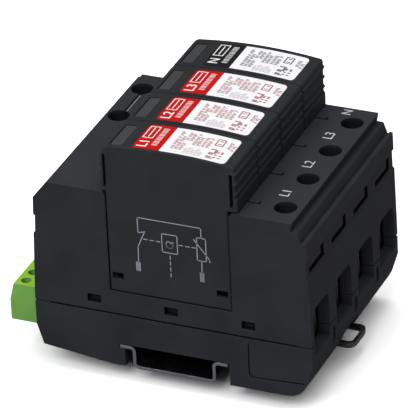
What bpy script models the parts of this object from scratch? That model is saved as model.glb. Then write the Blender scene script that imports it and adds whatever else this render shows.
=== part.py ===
"""A four-module pluggable surge arrester on a length of 35 mm top-hat rail.

X runs along the height of the device, from the earth side to the line side. Y runs across the modules.
Z runs out from the rail. The origin is the middle of the rail's underside. All dimensions below are in
millimetres, and MM turns them into Blender's metres when a mesh is made.
"""
import math

import bmesh
import bpy

MM = 0.001

# General
GAP = 0.3                    # clearance between pieces that touch
MODULES = 4
PITCH = 18.0                 # from one module to the next
PLUG_WIDTH = 17.3            # one plug, across the module
BAY_HALF = 19.9              # half of the bay between the two terminal blocks
BLOCK_LENGTH = 25.1          # each terminal block, along X
BODY_HALF = BAY_HALF + BLOCK_LENGTH
BODY_WIDTH = (MODULES - 1) * PITCH + PLUG_WIDTH

# Top-hat rail
RAIL_WIDTH = 35.0
RAIL_HEIGHT = 7.5
RAIL_SHEET = 1.0
RAIL_FLANGE = 5.0            # with the web's thickness
RAIL_BEND = 0.8              # inside radius of the bends

# Base housing
BASE_LOW = 0.3               # underside of the base above the rail's underside
BASE_LEAN = 3.6              # how far the line-side wall leans in towards the underside
BASE_LEAN_Z = 11.3           # height of that lean
BASE_ROUND = 6.8             # radius of its lower corner
EARTH_LEAN = 2.1             # the earth-side wall leans in to a sharp lower corner
EARTH_LEAN_Z = 9.3
EARTH_CORNER_Z = 2.6
EARTH_FLAT_X = RAIL_WIDTH / 2 + 3.1     # where the underside has come down to its lowest
HOOK_GRIP = 1.4              # how far the fixed hook reaches under the rail's flange
CHANNEL_PLAY = 0.6           # extra room for the rail on the catch side
WELL_FLOOR = RAIL_HEIGHT + 3.2
WELL_DEPTH = 7.5             # well that holds the bars
SEAM_Z = WELL_FLOOR + WELL_DEPTH
WELL_HALF = BAY_HALF - 0.1
SIDE_WALL = 2.2              # front and back walls
POCKET_FLOOR = WELL_FLOOR + 2.0
GROOVE_X = BAY_HALF + 4.4    # fine line round the catch housing
GROOVE_LOW = BASE_LOW + 4.1
GROOVE_WIDTH = 0.5
GROOVE_DEPTH = 0.45
SLIT_LOW = SEAM_Z - 8.0      # narrow slits between the wire entries
SLIT_HEIGHT = 6.0
SLIT_WIDTH = 1.9
SLIT_DEPTH = 2.2
SLIT_SHIFT = 0.3             # past the middle between two modules
SEAM_STEP = 0.35             # the base's rim steps down and in along the seam
SEAM_STEP_IN = 0.5

# Cover housing
COVER_HEIGHT = 41.8
BLOCK_TOP = SEAM_Z + COVER_HEIGHT
LINE_TOP_X = BODY_HALF - 5.2        # outer edge of the line block's top
EARTH_TOP_X = BODY_HALF - 6.15      # outer edge of the earth block's top
LINE_SHOULDER_X = BODY_HALF - 0.7   # line side wall where it meets the stepped shoulder
EARTH_SHOULDER_X = BODY_HALF - 1.4
SHOULDER_Z = BLOCK_TOP - 6.0
STEP_Z = BLOCK_TOP - 2.9
STEP_X = BODY_HALF - 3.5
STEP_FOOT_X = BODY_HALF - 2.4
FOOT_GROOVE = 0.6            # groove at the foot of the shoulder slope
FOOT_GROOVE_DEPTH = 0.5
BAY_FLOOR = SEAM_Z + 7.9
BAY_ROUND = 1.6              # rounding of the bay's upper edges
FLOOR_SHEET = 2.1
BAY_WALL = 2.3
END_WALL = 3.6
ROOF = 7.0                   # plastic above the terminal chambers
STRIP_LOW = BLOCK_TOP - 18.4        # shallow band for the marking strips
STRIP_HIGH = BLOCK_TOP - 11.8
STRIP_DEPTH = 0.55
NOTCH_Z = STRIP_LOW + 1.0    # L-shaped notches of the marking strips
NOTCH_HEIGHT = 4.4
NOTCH_LENGTH = 11.9
NOTCH_START = 6.2            # before the module's middle
NOTCH_SLOT = 1.9             # thickness of the lying part
NOTCH_POST = 2.5             # thickness of the standing part
NOTCH_DEPTH = 2.0
EARTH_JOG = 0.5              # the earth block's edge steps in beside the last module
EARTH_JOG_START = 0.8        # before that module's middle
EARTH_JOG_DROP = 1.0
LINK_SHEET = 0.8             # link strip let into the earth block between its screws
LINK_LENGTH = 10.8
LINK_DEPTH = 5.2
HOOK_SLOT = 5.0              # hooked slots in the line block at the foot of each plug
HOOK_RISE = 1.9
HOOK_SLOT_WIDTH = 0.8
HOOK_SLOT_DEPTH = 1.2

# Wire entries and terminals
ENTRY_WIDTH = 12.8           # at the outside
ENTRY_LOW = SEAM_Z - 3.8
ENTRY_HIGH = SEAM_Z + 11.9
ENTRY_CORNER = 3.0
ENTRY_TAPER = 0.2            # how far each side draws in for each millimetre of depth
CHAMBER_WIDTH = 13.4
DRIVER_HOLE = 3.55           # radius of the screwdriver shaft
CAGE_LENGTH = 12.0
CAGE_WALL = 1.4
CAGE_BOTTOM = 1.5
CAGE_TOP = 3.2
TERMINAL_X = BODY_HALF - END_WALL - 0.8 - CAGE_LENGTH / 2
SCREW_R = 2.5
SCREW_HEAD_R = 3.8
SCREW_HEAD = 3.4
SCREW_HEAD_Z = BLOCK_TOP - ROOF - 4.0
DRIVE_SLOT = 1.1
DRIVE_DEPTH = 1.6

# Bars and clips
BAR_SHEET = 1.5
BAR_WIDTH = 8.0
BAR_RUN_Z = SEAM_Z + 2.2     # underside of the run below the bay floor
BAR_HIGH_Z = SEAM_Z + 9.8    # underside of the clamping end
BLADE_X = BAY_HALF - 5.4     # middle of the contact blades
BLADE_SHEET = 1.0
BLADE_LOW = WELL_FLOOR + GAP + BAR_SHEET + 0.5
BLADE_TAPER = 1.2
CROSS_WIDTH = 3.6            # neutral bar where it crosses the well

# Foot catch
CATCH_SHEET = 1.5
CATCH_WIDTH = 12.2
CATCH_GRIP = 2.0             # how far the tongue reaches under the rail's flange
CATCH_JOGGLE_X = BODY_HALF - 12.0
CATCH_LOW_Z = 1.3            # underside of the eyelet end
CATCH_END_X = BODY_HALF + 1.3
CATCH_BAR = 1.25             # outer bar of the eyelet
CATCH_SIDE = 1.8             # its side bars
CATCH_HOLE = 6.5
CATCH_ROUND = 2.6
CATCH_SLOT_X = RAIL_WIDTH / 2 + 2.9
SPRING_LENGTH = 8.0
SPRING_R = 1.45              # middle of the coil
SPRING_WIRE = 0.22
SPRING_TURNS = 6
POST_LENGTH = 1.5

# Protection plugs
PLUG_WALL = 1.5
SIDE_SKIN = 1.2
LEDGE = 0.5                  # recess that the side lid sits in
HEAD_HALF = BAY_HALF + 2.0
HEAD_SHIFT = 0.9             # the head sits this far to the line side of its body
HEAD_HEIGHT = 17.05          # from the blocks' tops to the crown of the plugs
HEAD_TOP = BLOCK_TOP + HEAD_HEIGHT
HEAD_SAG = 1.5               # how far the top falls towards its ends
HEAD_CROWN = 1.3             # where the top is highest
HEAD_CORNER = {1: 0.9, -1: 2.8}     # line side, earth side
HEAD_EDGE = 0.45             # small chamfer round both sides of a plug
HEAD_BROW = {1: 2.6, -1: 4.2}       # plain band above the ribs
RIB_DEPTH = 0.5
RIB_COUNT = 3
GRIP_FOOT = 4.6
GRIP_SLOT_X = {1: (BAY_HALF + 0.6, BAY_HALF + 1.7), -1: (BAY_HALF - 0.8, BAY_HALF + 0.1)}
GRIP_SLOT_LOW = BLOCK_TOP + 1.8
GRIP_SLOT_HIGH = BLOCK_TOP + 13.0
WINDOW_LENGTH = 3.9          # along X
WINDOW_WIDTH = 12.8          # along Y
WINDOW_X = -16.05            # its middle
WINDOW_Y = -1.0
PANE_SINK = 0.25             # the pane lies this far below the top
FLAG_SHEET = 1.0
FLAG_LEG = 1.6
SNAP_X = BAY_HALF - 3.05     # snap windows in the plug's side
SNAP_Z = BAY_FLOOR + 5.6
SNAP_LENGTH = 3.7
SNAP_HEIGHT = 2.3
CORE_LOW = BAY_FLOOR + 3.9   # varistor or spark gap inside
CORE_HIGH = BLOCK_TOP - 4.0
CORE_THICK = 9.0

# Snap windows in the cover
COVER_SNAP_X = (-BAY_HALF - 5.35, -0.15, BAY_HALF + 4.9)
COVER_SNAP_Z = SEAM_Z + 4.1
COVER_SNAP_LENGTH = 4.5
COVER_SNAP_HEIGHT = 2.9
TONGUE_SHEET = 1.3
TONGUE_NIB = 1.6             # the nib stays this far inside the front face

# Signalling side
SIGNAL_POLES = 3
SIGNAL_PITCH = 5.08
SIGNAL_MARGIN = 0.4          # green wall beyond the outer poles
HEADER_WALL = 1.0
HEADER_LOW = BASE_LOW + 7.0
HEADER_HEIGHT = 12.7
HEADER_HIGH = HEADER_LOW + HEADER_HEIGHT
HEADER_OUT = BODY_HALF + 0.2        # rim of the header
HEADER_DEPTH = 7.4
HEADER_PIN = 1.0
SIGNAL_OUT = BODY_HALF + 10.2       # outer end of the green plug
SIGNAL_SLOPE = 1.4           # its outer face leans in towards the top
SIGNAL_SLOPE_Z = 5.7
SIGNAL_SCREW_X = SIGNAL_OUT - 4.4
SIGNAL_SCREW_R = 1.3
SIGNAL_SCREW_DEPTH = 5.0
SIGNAL_SCREW_SINK = 1.8      # the screws' heads lie this far below the plug's top
SWITCH_LENGTH = 12.8
SWITCH_WIDTH = 5.8
SWITCH_HEIGHT = 6.2
SWITCH_BUTTON = 1.3
SLIDE_WIDTH = 4.0
SLIDE_SHEET = 1.8

ROUND = 20                   # sides of the larger round pieces


def module_y(index):
    """Middle of a module, counted from the front."""
    return (index - (MODULES - 1) / 2) * PITCH


def arc(centre, radius, start, end, steps=4):
    """Points on an arc, by angles in degrees."""
    points = []
    for step in range(steps + 1):
        angle = math.radians(start + (end - start) * step / steps)
        points.append((centre[0] + radius * math.cos(angle), centre[1] + radius * math.sin(angle)))
    return points


def rounded(low, high, radius, steps=4):
    """Outline of a rectangle with round corners."""
    (left, bottom), (right, top) = low, high
    return (arc((right - radius, bottom + radius), radius, -90, 0, steps)
            + arc((right - radius, top - radius), radius, 0, 90, steps)
            + arc((left + radius, top - radius), radius, 90, 180, steps)
            + arc((left + radius, bottom + radius), radius, 180, 270, steps))


def fillet(before, corner, after, radius, steps=4):
    """Points that round the corner between two straight edges."""
    one = _unit(before[0] - corner[0], before[1] - corner[1])
    two = _unit(after[0] - corner[0], after[1] - corner[1])
    half = math.acos(one[0] * two[0] + one[1] * two[1]) / 2
    reach = radius / math.tan(half)
    middle = _unit(one[0] + two[0], one[1] + two[1])
    centre = (corner[0] + middle[0] * radius / math.sin(half), corner[1] + middle[1] * radius / math.sin(half))
    start = math.atan2(corner[1] + one[1] * reach - centre[1], corner[0] + one[0] * reach - centre[0])
    end = math.atan2(corner[1] + two[1] * reach - centre[1], corner[0] + two[0] * reach - centre[0])
    turn = (end - start + math.pi) % (2 * math.pi) - math.pi
    return arc(centre, radius, math.degrees(start), math.degrees(start + turn), steps)


def inset(points, distance):
    """An outline moved inwards by a distance; the points run counter-clockwise."""
    result = []
    count = len(points)
    for index, (x, y) in enumerate(points):
        before = points[index - 1]
        after = points[(index + 1) % count]
        into = _unit(x - before[0], y - before[1])
        out = _unit(after[0] - x, after[1] - y)
        normal_x = -(into[1] + out[1])
        normal_y = into[0] + out[0]
        scale = distance / max(0.3, (normal_x * normal_x + normal_y * normal_y) / 2)
        result.append((x + normal_x * scale, y + normal_y * scale))
    return result


def _unit(x, y):
    length = math.hypot(x, y) or 1.0
    return x / length, y / length


def place(axis, point, depth):
    """A point of an outline as a 3-D point, with depth along the axis."""
    if axis == "X":
        return depth * MM, point[0] * MM, point[1] * MM
    if axis == "Y":
        return point[0] * MM, depth * MM, point[1] * MM
    return point[0] * MM, point[1] * MM, depth * MM


def loft(sections, axis):
    """A closed solid through outlines of equal length: sections are (outline, depth) pairs."""
    mesh = bmesh.new()
    rings = [[mesh.verts.new(place(axis, point, depth)) for point in outline]
             for outline, depth in sections]
    for ring, following in zip(rings, rings[1:]):
        for index in range(len(ring)):
            after = (index + 1) % len(ring)
            mesh.faces.new((ring[index], ring[after], following[after], following[index]))
    mesh.faces.new(rings[0][::-1])
    mesh.faces.new(rings[-1])
    bmesh.ops.recalc_face_normals(mesh, faces=mesh.faces)
    data = bpy.data.meshes.new("shape")
    mesh.to_mesh(data)
    mesh.free()
    shape = bpy.data.objects.new("shape", data)
    bpy.context.scene.collection.objects.link(shape)
    return shape


def prism(outline, axis, low, high):
    """An outline drawn out along an axis."""
    return loft([(outline, low), (outline, high)], axis)


def block(x, y, z):
    """A box from three (low, high) pairs."""
    return prism([(x[0], y[0]), (x[1], y[0]), (x[1], y[1]), (x[0], y[1])], "Z", z[0], z[1])


def drum(centre, radius, axis, low, high, sides=ROUND):
    """A round bar along an axis."""
    outline = [(centre[0] + radius * math.cos(2 * math.pi * k / sides),
                centre[1] + radius * math.sin(2 * math.pi * k / sides)) for k in range(sides)]
    return prism(outline, axis, low, high)


def combine(shape, others, operation):
    """Joins shapes to one, or cuts them from it, and keeps the result as a plain mesh."""
    for other in others:
        modifier = shape.modifiers.new("combine", "BOOLEAN")
        modifier.operation = operation
        modifier.solver = "EXACT"
        modifier.object = other
    graph = bpy.context.evaluated_depsgraph_get()
    data = bpy.data.meshes.new_from_object(shape.evaluated_get(graph))
    before = shape.data
    shape.modifiers.clear()
    shape.data = data
    bpy.data.meshes.remove(before)
    for other in others:
        leftover = other.data
        bpy.data.objects.remove(other)
        bpy.data.meshes.remove(leftover)
    return shape


def join(shape, *others):
    return combine(shape, others, "UNION")


def cut(shape, *others):
    return combine(shape, others, "DIFFERENCE")


def material(name, colour, roughness, metallic=0.0):
    """A plain Principled material."""
    result = bpy.data.materials.new(name)
    result.use_nodes = True
    shader = result.node_tree.nodes["Principled BSDF"]
    shader.inputs["Base Color"].default_value = (*colour, 1.0)
    shader.inputs["Roughness"].default_value = roughness
    shader.inputs["Metallic"].default_value = metallic
    return result


def finish(shape, name, surface, at=(0.0, 0.0, 0.0), parent=None, smooth=False):
    """Names a shape, gives it its material and sets it in its place (millimetres)."""
    shape.name = name
    shape.data.name = name
    shape.data.materials.clear()
    shape.data.materials.append(surface)
    if smooth:
        shape.data.shade_smooth()
        shape.data.set_sharp_from_angle(angle=math.radians(35))
    shape.location = [value * MM for value in at]
    shape.parent = parent
    return shape


def copy_of(shape, name, at, parent=None):
    """A further piece with the same mesh."""
    twin = bpy.data.objects.new(name, shape.data)
    bpy.context.scene.collection.objects.link(twin)
    twin.location = [value * MM for value in at]
    twin.parent = parent
    return twin


def seat(name, at):
    """An empty that carries the pieces of one moving group."""
    empty = bpy.data.objects.new(name, None)
    bpy.context.scene.collection.objects.link(empty)
    empty.location = [value * MM for value in at]
    return empty


def mirrored(outline):
    """The outline on the other side of the middle plane, still counter-clockwise."""
    return [(-x, z) for x, z in reversed(outline)]


def make_rail(steel):
    """The hat section, bent from one strip."""
    half = RAIL_WIDTH / 2
    web = half - RAIL_FLANGE + RAIL_SHEET / 2
    middle = RAIL_BEND + RAIL_SHEET / 2
    top = RAIL_HEIGHT - RAIL_SHEET / 2
    low = RAIL_SHEET / 2
    path = [(half, top)]
    path += arc((web + middle, top - middle), middle, 90, 180, 4)
    path += arc((web - middle, low + middle), middle, 0, -90, 4)
    path += mirrored(path)
    outer, inner = [], []
    for index, (x, z) in enumerate(path):
        before = path[max(0, index - 1)]
        after = path[min(len(path) - 1, index + 1)]
        along = _unit(after[0] - before[0], after[1] - before[1])
        outer.append((x - along[1] * RAIL_SHEET / 2, z + along[0] * RAIL_SHEET / 2))
        inner.append((x + along[1] * RAIL_SHEET / 2, z - along[0] * RAIL_SHEET / 2))
    rail = prism(outer + inner[::-1], "Y", -BODY_WIDTH / 2, BODY_WIDTH / 2)
    return finish(rail, "din_rail_section", steel, smooth=True)


def base_outline():
    """The base seen from the front, with the rail channel and its fixed hook."""
    half = BODY_HALF
    flange = RAIL_WIDTH / 2
    hook_low = RAIL_HEIGHT - RAIL_SHEET - GAP
    ceiling = RAIL_HEIGHT + GAP
    heel = (half, BASE_LOW + BASE_LEAN_Z)
    corner = fillet((0, BASE_LOW), (half - BASE_LEAN, BASE_LOW), heel, BASE_ROUND)
    right = [(flange + CHANNEL_PLAY, BASE_LOW)] + corner + [heel, (half, SEAM_Z)]
    left = [(-half, SEAM_Z), (-half, BASE_LOW + EARTH_LEAN_Z), (-half + EARTH_LEAN, BASE_LOW + EARTH_CORNER_Z),
            (-EARTH_FLAT_X, BASE_LOW)]
    left += [(-flange + HOOK_GRIP, BASE_LOW), (-flange + HOOK_GRIP, hook_low),
            (-flange - GAP, hook_low), (-flange - GAP, ceiling), (flange + CHANNEL_PLAY, ceiling)]
    return right + left


def entry_cut(side, y):
    """A wire entry, drawing in from the end wall's face, with round upper corners."""
    sections = []
    for depth in (-1.0, END_WALL + 1.0):
        drawn = ENTRY_TAPER * depth
        half = ENTRY_WIDTH / 2 - drawn
        low, high = ENTRY_LOW + drawn, ENTRY_HIGH - drawn
        outline = ([(y - half, low), (y + half, low)]
                   + arc((y + half - ENTRY_CORNER, high - ENTRY_CORNER), ENTRY_CORNER, 0, 90)
                   + arc((y - half + ENTRY_CORNER, high - ENTRY_CORNER), ENTRY_CORNER, 90, 180))
        sections.append((outline, side * (BODY_HALF - depth)))
    return loft(sections, "X")


def terminals():
    """Every terminal: its name, its side (1 line, -1 earth) and its module."""
    line = [(f"line_{n + 1}", 1, n) for n in range(MODULES - 1)]
    return line + [("neutral", 1, MODULES - 1), ("earth_1", -1, MODULES - 2), ("earth_2", -1, MODULES - 1)]


def span(side, low, high):
    """A range on the line side, or its mirror on the earth side."""
    return (low, high) if side > 0 else (-high, -low)


def make_base(plastic):
    """Lower shell: rail channel, well for the bars, cage pockets, catch channel and snap tongues."""
    half = BODY_HALF
    width = BODY_WIDTH / 2
    base = prism(base_outline(), "Y", -width, width)
    above = SEAM_Z + 1
    cuts = [block((-WELL_HALF, WELL_HALF), (-width + SIDE_WALL, width - SIDE_WALL), (WELL_FLOOR, above))]
    chamber = CHAMBER_WIDTH / 2
    for _, side, module in terminals():
        y = module_y(module)
        cage = TERMINAL_X - CAGE_LENGTH / 2 - GAP
        cuts.append(block(span(side, cage, half - END_WALL), (y - chamber, y + chamber),
                          (POCKET_FLOOR, above)))
        cuts.append(entry_cut(side, y))
    poles = signal_half() + HEADER_WALL + GAP
    cuts.append(block((-half - 1, -HEADER_OUT + HEADER_DEPTH + HEADER_WALL + GAP),
                      (header_y() - poles, header_y() + poles), (HEADER_LOW - GAP, above)))
    base = cut(base, *cuts)
    base = cut(base, *catch_cuts(), *slit_cuts(), *groove_cuts(-width, 1), *groove_cuts(width, -1), seam_step())
    return finish(join(base, spring_post(), *tongues(), *slide_saddles()), "base_housing", plastic)


def catch_cuts():
    """The tunnel of the foot catch, the room for its spring and its open end."""
    half = CATCH_WIDTH / 2 + GAP
    low = catch_tongue_z() - GAP
    high = low + CATCH_SHEET + 2 * GAP
    inner = RAIL_WIDTH / 2
    joggle = CATCH_JOGGLE_X - CATCH_SHEET - GAP
    tunnel = block((inner, joggle + 1), (-half, half), (low, high))
    mouth = block((joggle, 2 * BODY_HALF), (-half, half), (-1, high))
    room = SPRING_R + SPRING_WIRE + GAP
    middle = low + GAP + CATCH_SHEET / 2
    spring = block((CATCH_SLOT_X, CATCH_SLOT_X + SPRING_LENGTH + GAP), (-room, room),
                   (middle - room, middle + room))
    return tunnel, mouth, spring


def catch_tongue_z():
    """Underside of the catch where it reaches under the rail's flange."""
    return RAIL_HEIGHT - RAIL_SHEET - GAP - CATCH_SHEET


def spring_post():
    """The stop inside the tunnel that the catch spring leans on."""
    low = CATCH_SLOT_X + SPRING_LENGTH + GAP
    room = SPRING_R + SPRING_WIRE
    return block((low, low + POST_LENGTH), (-room, room), (catch_tongue_z() - 2, catch_tongue_z() + 3))


def seam_step():
    """A frame that lowers the base's rim along its outer edge, so that the seam shows as a line."""
    outer, inner = BODY_HALF + 1, BODY_HALF - SEAM_STEP_IN
    wide, narrow = BODY_WIDTH / 2 + 1, BODY_WIDTH / 2 - SEAM_STEP_IN
    frame = block((-outer, outer), (-wide, wide), (SEAM_Z - SEAM_STEP, SEAM_Z + 1))
    return cut(frame, block((-inner, inner), (-narrow, narrow), (SEAM_Z - 1, SEAM_Z + 2)))


def slit_cuts():
    """Narrow slits between the wire entries."""
    slit = SLIT_WIDTH / 2
    return [block((BODY_HALF - SLIT_DEPTH, BODY_HALF + 1), (y - slit, y + slit),
                  (SLIT_LOW, SLIT_LOW + SLIT_HEIGHT))
            for y in (module_y(n) + PITCH / 2 + SLIT_SHIFT for n in range(MODULES - 1))]


def groove_cuts(face, inward):
    """The fine line round the catch housing, on the front or the back of the base."""
    bend = 1.6
    top = SEAM_Z - 2.2
    slope = 0.7
    right = BODY_HALF - BASE_LEAN + 0.6
    outer = [(GROOVE_X, top)] + arc((GROOVE_X + bend, GROOVE_LOW + bend), bend, 180, 270)
    outer.append((right, GROOVE_LOW + slope))
    inner = [(x + GROOVE_WIDTH * 0.8, z + GROOVE_WIDTH * 0.8) for x, z in reversed(outer[:-1])]
    outline = outer + [(right, GROOVE_LOW + slope + GROOVE_WIDTH)] + inner
    reach = (face - inward, face + inward * GROOVE_DEPTH)
    return [prism(outline, "Y", min(reach), max(reach))]


def tongues():
    """Snap tongues that stand up inside the cover's walls, with a nib in each snap window."""
    width = BODY_WIDTH / 2
    face = width - SIDE_WALL - GAP
    half = COVER_SNAP_LENGTH / 2 - GAP
    low = COVER_SNAP_Z - COVER_SNAP_HEIGHT / 2 + GAP
    high = COVER_SNAP_Z + COVER_SNAP_HEIGHT / 2 - GAP
    nib = width - TONGUE_NIB
    root = SEAM_Z - 3
    result = []
    for x in COVER_SNAP_X:
        for side in (-1, 1):
            back = face - TONGUE_SHEET
            outline = [(side * back, root), (side * face, root), (side * face, low), (side * nib, low),
                       (side * face, high), (side * back, high)]
            result.append(prism(outline, "X", x - half, x + half))
            foot = (side * (back - 0.5), side * (width - 0.5))
            result.append(block((x - half, x + half), (min(foot), max(foot)), (root - 2, SEAM_Z - 1)))
    return result


def slide_saddles():
    """Two low bridges across the well that carry the signalling slide."""
    top = BAY_FLOOR - FLOOR_SHEET - GAP - SLIDE_SHEET - GAP
    half = SLIDE_WIDTH / 2 + 1
    return [block((-half, half), (y - 1, y + 1), (WELL_FLOOR - 1, top)) for y in (-PITCH / 2, PITCH * 1.35)]


def cover_outline():
    """The cover seen from the front: two blocks with the open bay between them."""
    half = BODY_HALF
    bottom = SEAM_Z + GAP
    line_wall = wall_x(LINE_SHOULDER_X)
    earth_wall = wall_x(EARTH_SHOULDER_X)
    line = [(half, bottom), (line_wall(STRIP_LOW), STRIP_LOW),
            (line_wall(STRIP_LOW) - STRIP_DEPTH, STRIP_LOW + STRIP_DEPTH),
            (line_wall(STRIP_HIGH) - STRIP_DEPTH, STRIP_HIGH - STRIP_DEPTH),
            (line_wall(STRIP_HIGH), STRIP_HIGH), (LINE_SHOULDER_X, SHOULDER_Z),
            (STEP_FOOT_X + FOOT_GROOVE, SHOULDER_Z), (STEP_FOOT_X + FOOT_GROOVE, SHOULDER_Z - FOOT_GROOVE_DEPTH),
            (STEP_FOOT_X, SHOULDER_Z - FOOT_GROOVE_DEPTH), (STEP_X, STEP_Z - 0.4), (STEP_X - 0.4, STEP_Z),
            (LINE_TOP_X - 0.5, STEP_Z), (LINE_TOP_X, BLOCK_TOP)] + bay_side()
    earth = [(half, bottom), (earth_wall(STRIP_LOW), STRIP_LOW),
             (earth_wall(STRIP_LOW) - STRIP_DEPTH, STRIP_LOW + STRIP_DEPTH),
             (earth_wall(STRIP_HIGH) - STRIP_DEPTH, STRIP_HIGH - STRIP_DEPTH),
             (earth_wall(STRIP_HIGH), STRIP_HIGH), (EARTH_SHOULDER_X, SHOULDER_Z),
             (EARTH_TOP_X, BLOCK_TOP)] + bay_side()
    return line + mirrored(earth)


def bay_side():
    """The bay's side wall on the line side, from its rounded upper edge down."""
    top = (BAY_HALF, BLOCK_TOP)
    return fillet((LINE_TOP_X, BLOCK_TOP), top, (BAY_HALF, BAY_FLOOR), BAY_ROUND, 3) + [(BAY_HALF, BAY_FLOOR)]


def wall_x(shoulder):
    """The sloping side wall's distance from the middle, as a function of height."""
    low = SEAM_Z + GAP
    half = BODY_HALF
    return lambda z: half + (shoulder - half) * (z - low) / (SHOULDER_Z - low)


def make_cover(plastic):
    """Upper shell: bay, terminal chambers, screwdriver shafts, wire entries and snap windows."""
    half = BODY_HALF
    width = BODY_WIDTH / 2
    cover = prism(cover_outline(), "Y", -width, width)
    under = SEAM_Z - 1
    inner = BAY_HALF + BAY_WALL
    chamber = CHAMBER_WIDTH / 2
    ceiling = BLOCK_TOP - ROOF
    below_floor = BAY_FLOOR - FLOOR_SHEET
    cuts = [block((-inner - 0.6, inner + 0.6), (-width + SIDE_WALL, width - SIDE_WALL), (under, below_floor))]
    for _, side, module in terminals():
        y = module_y(module)
        cuts.append(block(span(side, inner, half - END_WALL), (y - chamber, y + chamber), (under, ceiling)))
        cuts.append(drum((side * TERMINAL_X, y), DRIVER_HOLE, "Z", ceiling - 1, BLOCK_TOP + 1))
        cuts.append(entry_cut(side, y))
    spare = module_y(1) + chamber
    cuts.append(block((-half + END_WALL, -inner), (-width + SIDE_WALL, spare), (under, ceiling)))
    poles = signal_half() + HEADER_WALL + GAP
    cuts.append(block((-half - 1, -half + END_WALL + 1), (header_y() - poles, header_y() + poles),
                      (under, HEADER_HIGH + GAP)))
    cuts.append(block((-inner - BAR_SHEET * 3, -inner), (module_y(2), module_y(3)),
                      (BAR_HIGH_Z - 4 * BAR_SHEET, BAR_HIGH_Z + BAR_SHEET + GAP)))
    cover = cut(cover, *cuts)
    cover = cut(cover, *notch_cuts(), *snap_cuts(), *blade_cuts())
    cover = cut(cover, *hook_cuts(), link_cut(), jog_cut())
    return finish(cover, "cover_housing", plastic)


def notch_cuts():
    """L-shaped notches in the line side wall, one for each module."""
    outer = BODY_HALF + 1
    depth = wall_x(LINE_SHOULDER_X)(NOTCH_Z) - STRIP_DEPTH - NOTCH_DEPTH
    result = []
    for module in range(MODULES):
        start = module_y(module) - NOTCH_START
        end = start + NOTCH_LENGTH
        outline = [(start, NOTCH_Z), (end, NOTCH_Z), (end, NOTCH_Z + NOTCH_HEIGHT),
                   (end - NOTCH_POST, NOTCH_Z + NOTCH_HEIGHT), (end - NOTCH_POST, NOTCH_Z + NOTCH_SLOT),
                   (start, NOTCH_Z + NOTCH_SLOT)]
        result.append(prism(outline, "X", depth, outer))
    return result


def hook_cuts():
    """Small hooked slots in the line block's top, at the foot of each plug."""
    half = HOOK_SLOT_WIDTH / 2
    result = []
    for module in range(MODULES):
        y = module_y(module) - 0.3
        start = BAY_HALF + BAY_ROUND + 0.2
        end = start + HOOK_SLOT
        outline = [(start, y - half), (end, y - half), (end, y - half + HOOK_RISE),
                   (end - HOOK_SLOT_WIDTH, y - half + HOOK_RISE), (end - HOOK_SLOT_WIDTH, y + half),
                   (start, y + half)]
        result.append(prism(outline, "Z", BLOCK_TOP - HOOK_SLOT_DEPTH, BLOCK_TOP + 1))
    return result


def link_y():
    """Middle of the link strip between the two earth screws."""
    return (module_y(MODULES - 2) + module_y(MODULES - 1)) / 2


def link_cut():
    half = LINK_SHEET / 2 + GAP
    length = LINK_LENGTH / 2 + GAP
    middle = -TERMINAL_X + 1.0
    return block((middle - half, middle + half), (link_y() - length, link_y() + length),
                 (BLOCK_TOP - LINK_DEPTH - GAP, BLOCK_TOP + 1))


def jog_cut():
    """The step in the earth block's upper edge."""
    edge = -EARTH_TOP_X + EARTH_JOG
    shift = (EARTH_SHOULDER_X - EARTH_TOP_X) * EARTH_JOG_DROP / (BLOCK_TOP - SHOULDER_Z)
    low = BLOCK_TOP - EARTH_JOG_DROP
    outline = [(edge - 8, BLOCK_TOP + 1), (edge - 8, low), (edge - shift, low), (edge, BLOCK_TOP),
               (edge, BLOCK_TOP + 1)]
    return prism(outline, "Y", module_y(MODULES - 1) - EARTH_JOG_START, BODY_WIDTH)


def snap_cuts():
    """Windows in the front and back walls for the base's snap tongues."""
    width = BODY_WIDTH / 2
    half = COVER_SNAP_LENGTH / 2
    rise = COVER_SNAP_HEIGHT / 2
    result = []
    for x in COVER_SNAP_X:
        for side in (-1, 1):
            reach = (side * (width - SIDE_WALL - 1), side * (width + 1))
            result.append(block((x - half, x + half), (min(reach), max(reach)),
                                (COVER_SNAP_Z - rise, COVER_SNAP_Z + rise)))
    return result


def blade_cuts():
    """Slots in the bay floor for the contact blades."""
    slot = BLADE_SHEET / 2 + 2 * GAP
    half = BAR_WIDTH / 2 + 2 * GAP
    return [block((x - slot, x + slot), (y - half, y + half), (BAY_FLOOR - FLOOR_SHEET - 1, BAY_FLOOR + 1))
            for x in (-BLADE_X, BLADE_X) for y in (module_y(n) for n in range(MODULES))]


def clip_outline():
    """A spring clip, open upwards, with its bar running to a terminal; line side, seen from the front."""
    inner = BLADE_SHEET / 2 + GAP
    outer = inner + BAR_SHEET
    floor = WELL_FLOOR + GAP
    bend = BAY_HALF + BAY_WALL + 2 * GAP + BAR_SHEET
    end = TERMINAL_X + CAGE_LENGTH / 2 - GAP
    top = BAR_RUN_Z + BAR_SHEET
    high = BAR_HIGH_Z + BAR_SHEET
    return [(BLADE_X - outer, floor), (BLADE_X + outer, floor), (BLADE_X + outer, BAR_RUN_Z),
            (bend, BAR_RUN_Z), (bend, BAR_HIGH_Z), (end, BAR_HIGH_Z), (end, high),
            (bend - BAR_SHEET, high), (bend - BAR_SHEET, top), (BLADE_X + inner, top),
            (BLADE_X + inner, floor + BAR_SHEET), (BLADE_X - inner, floor + BAR_SHEET),
            (BLADE_X - inner, top), (BLADE_X - outer, top)]


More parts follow.
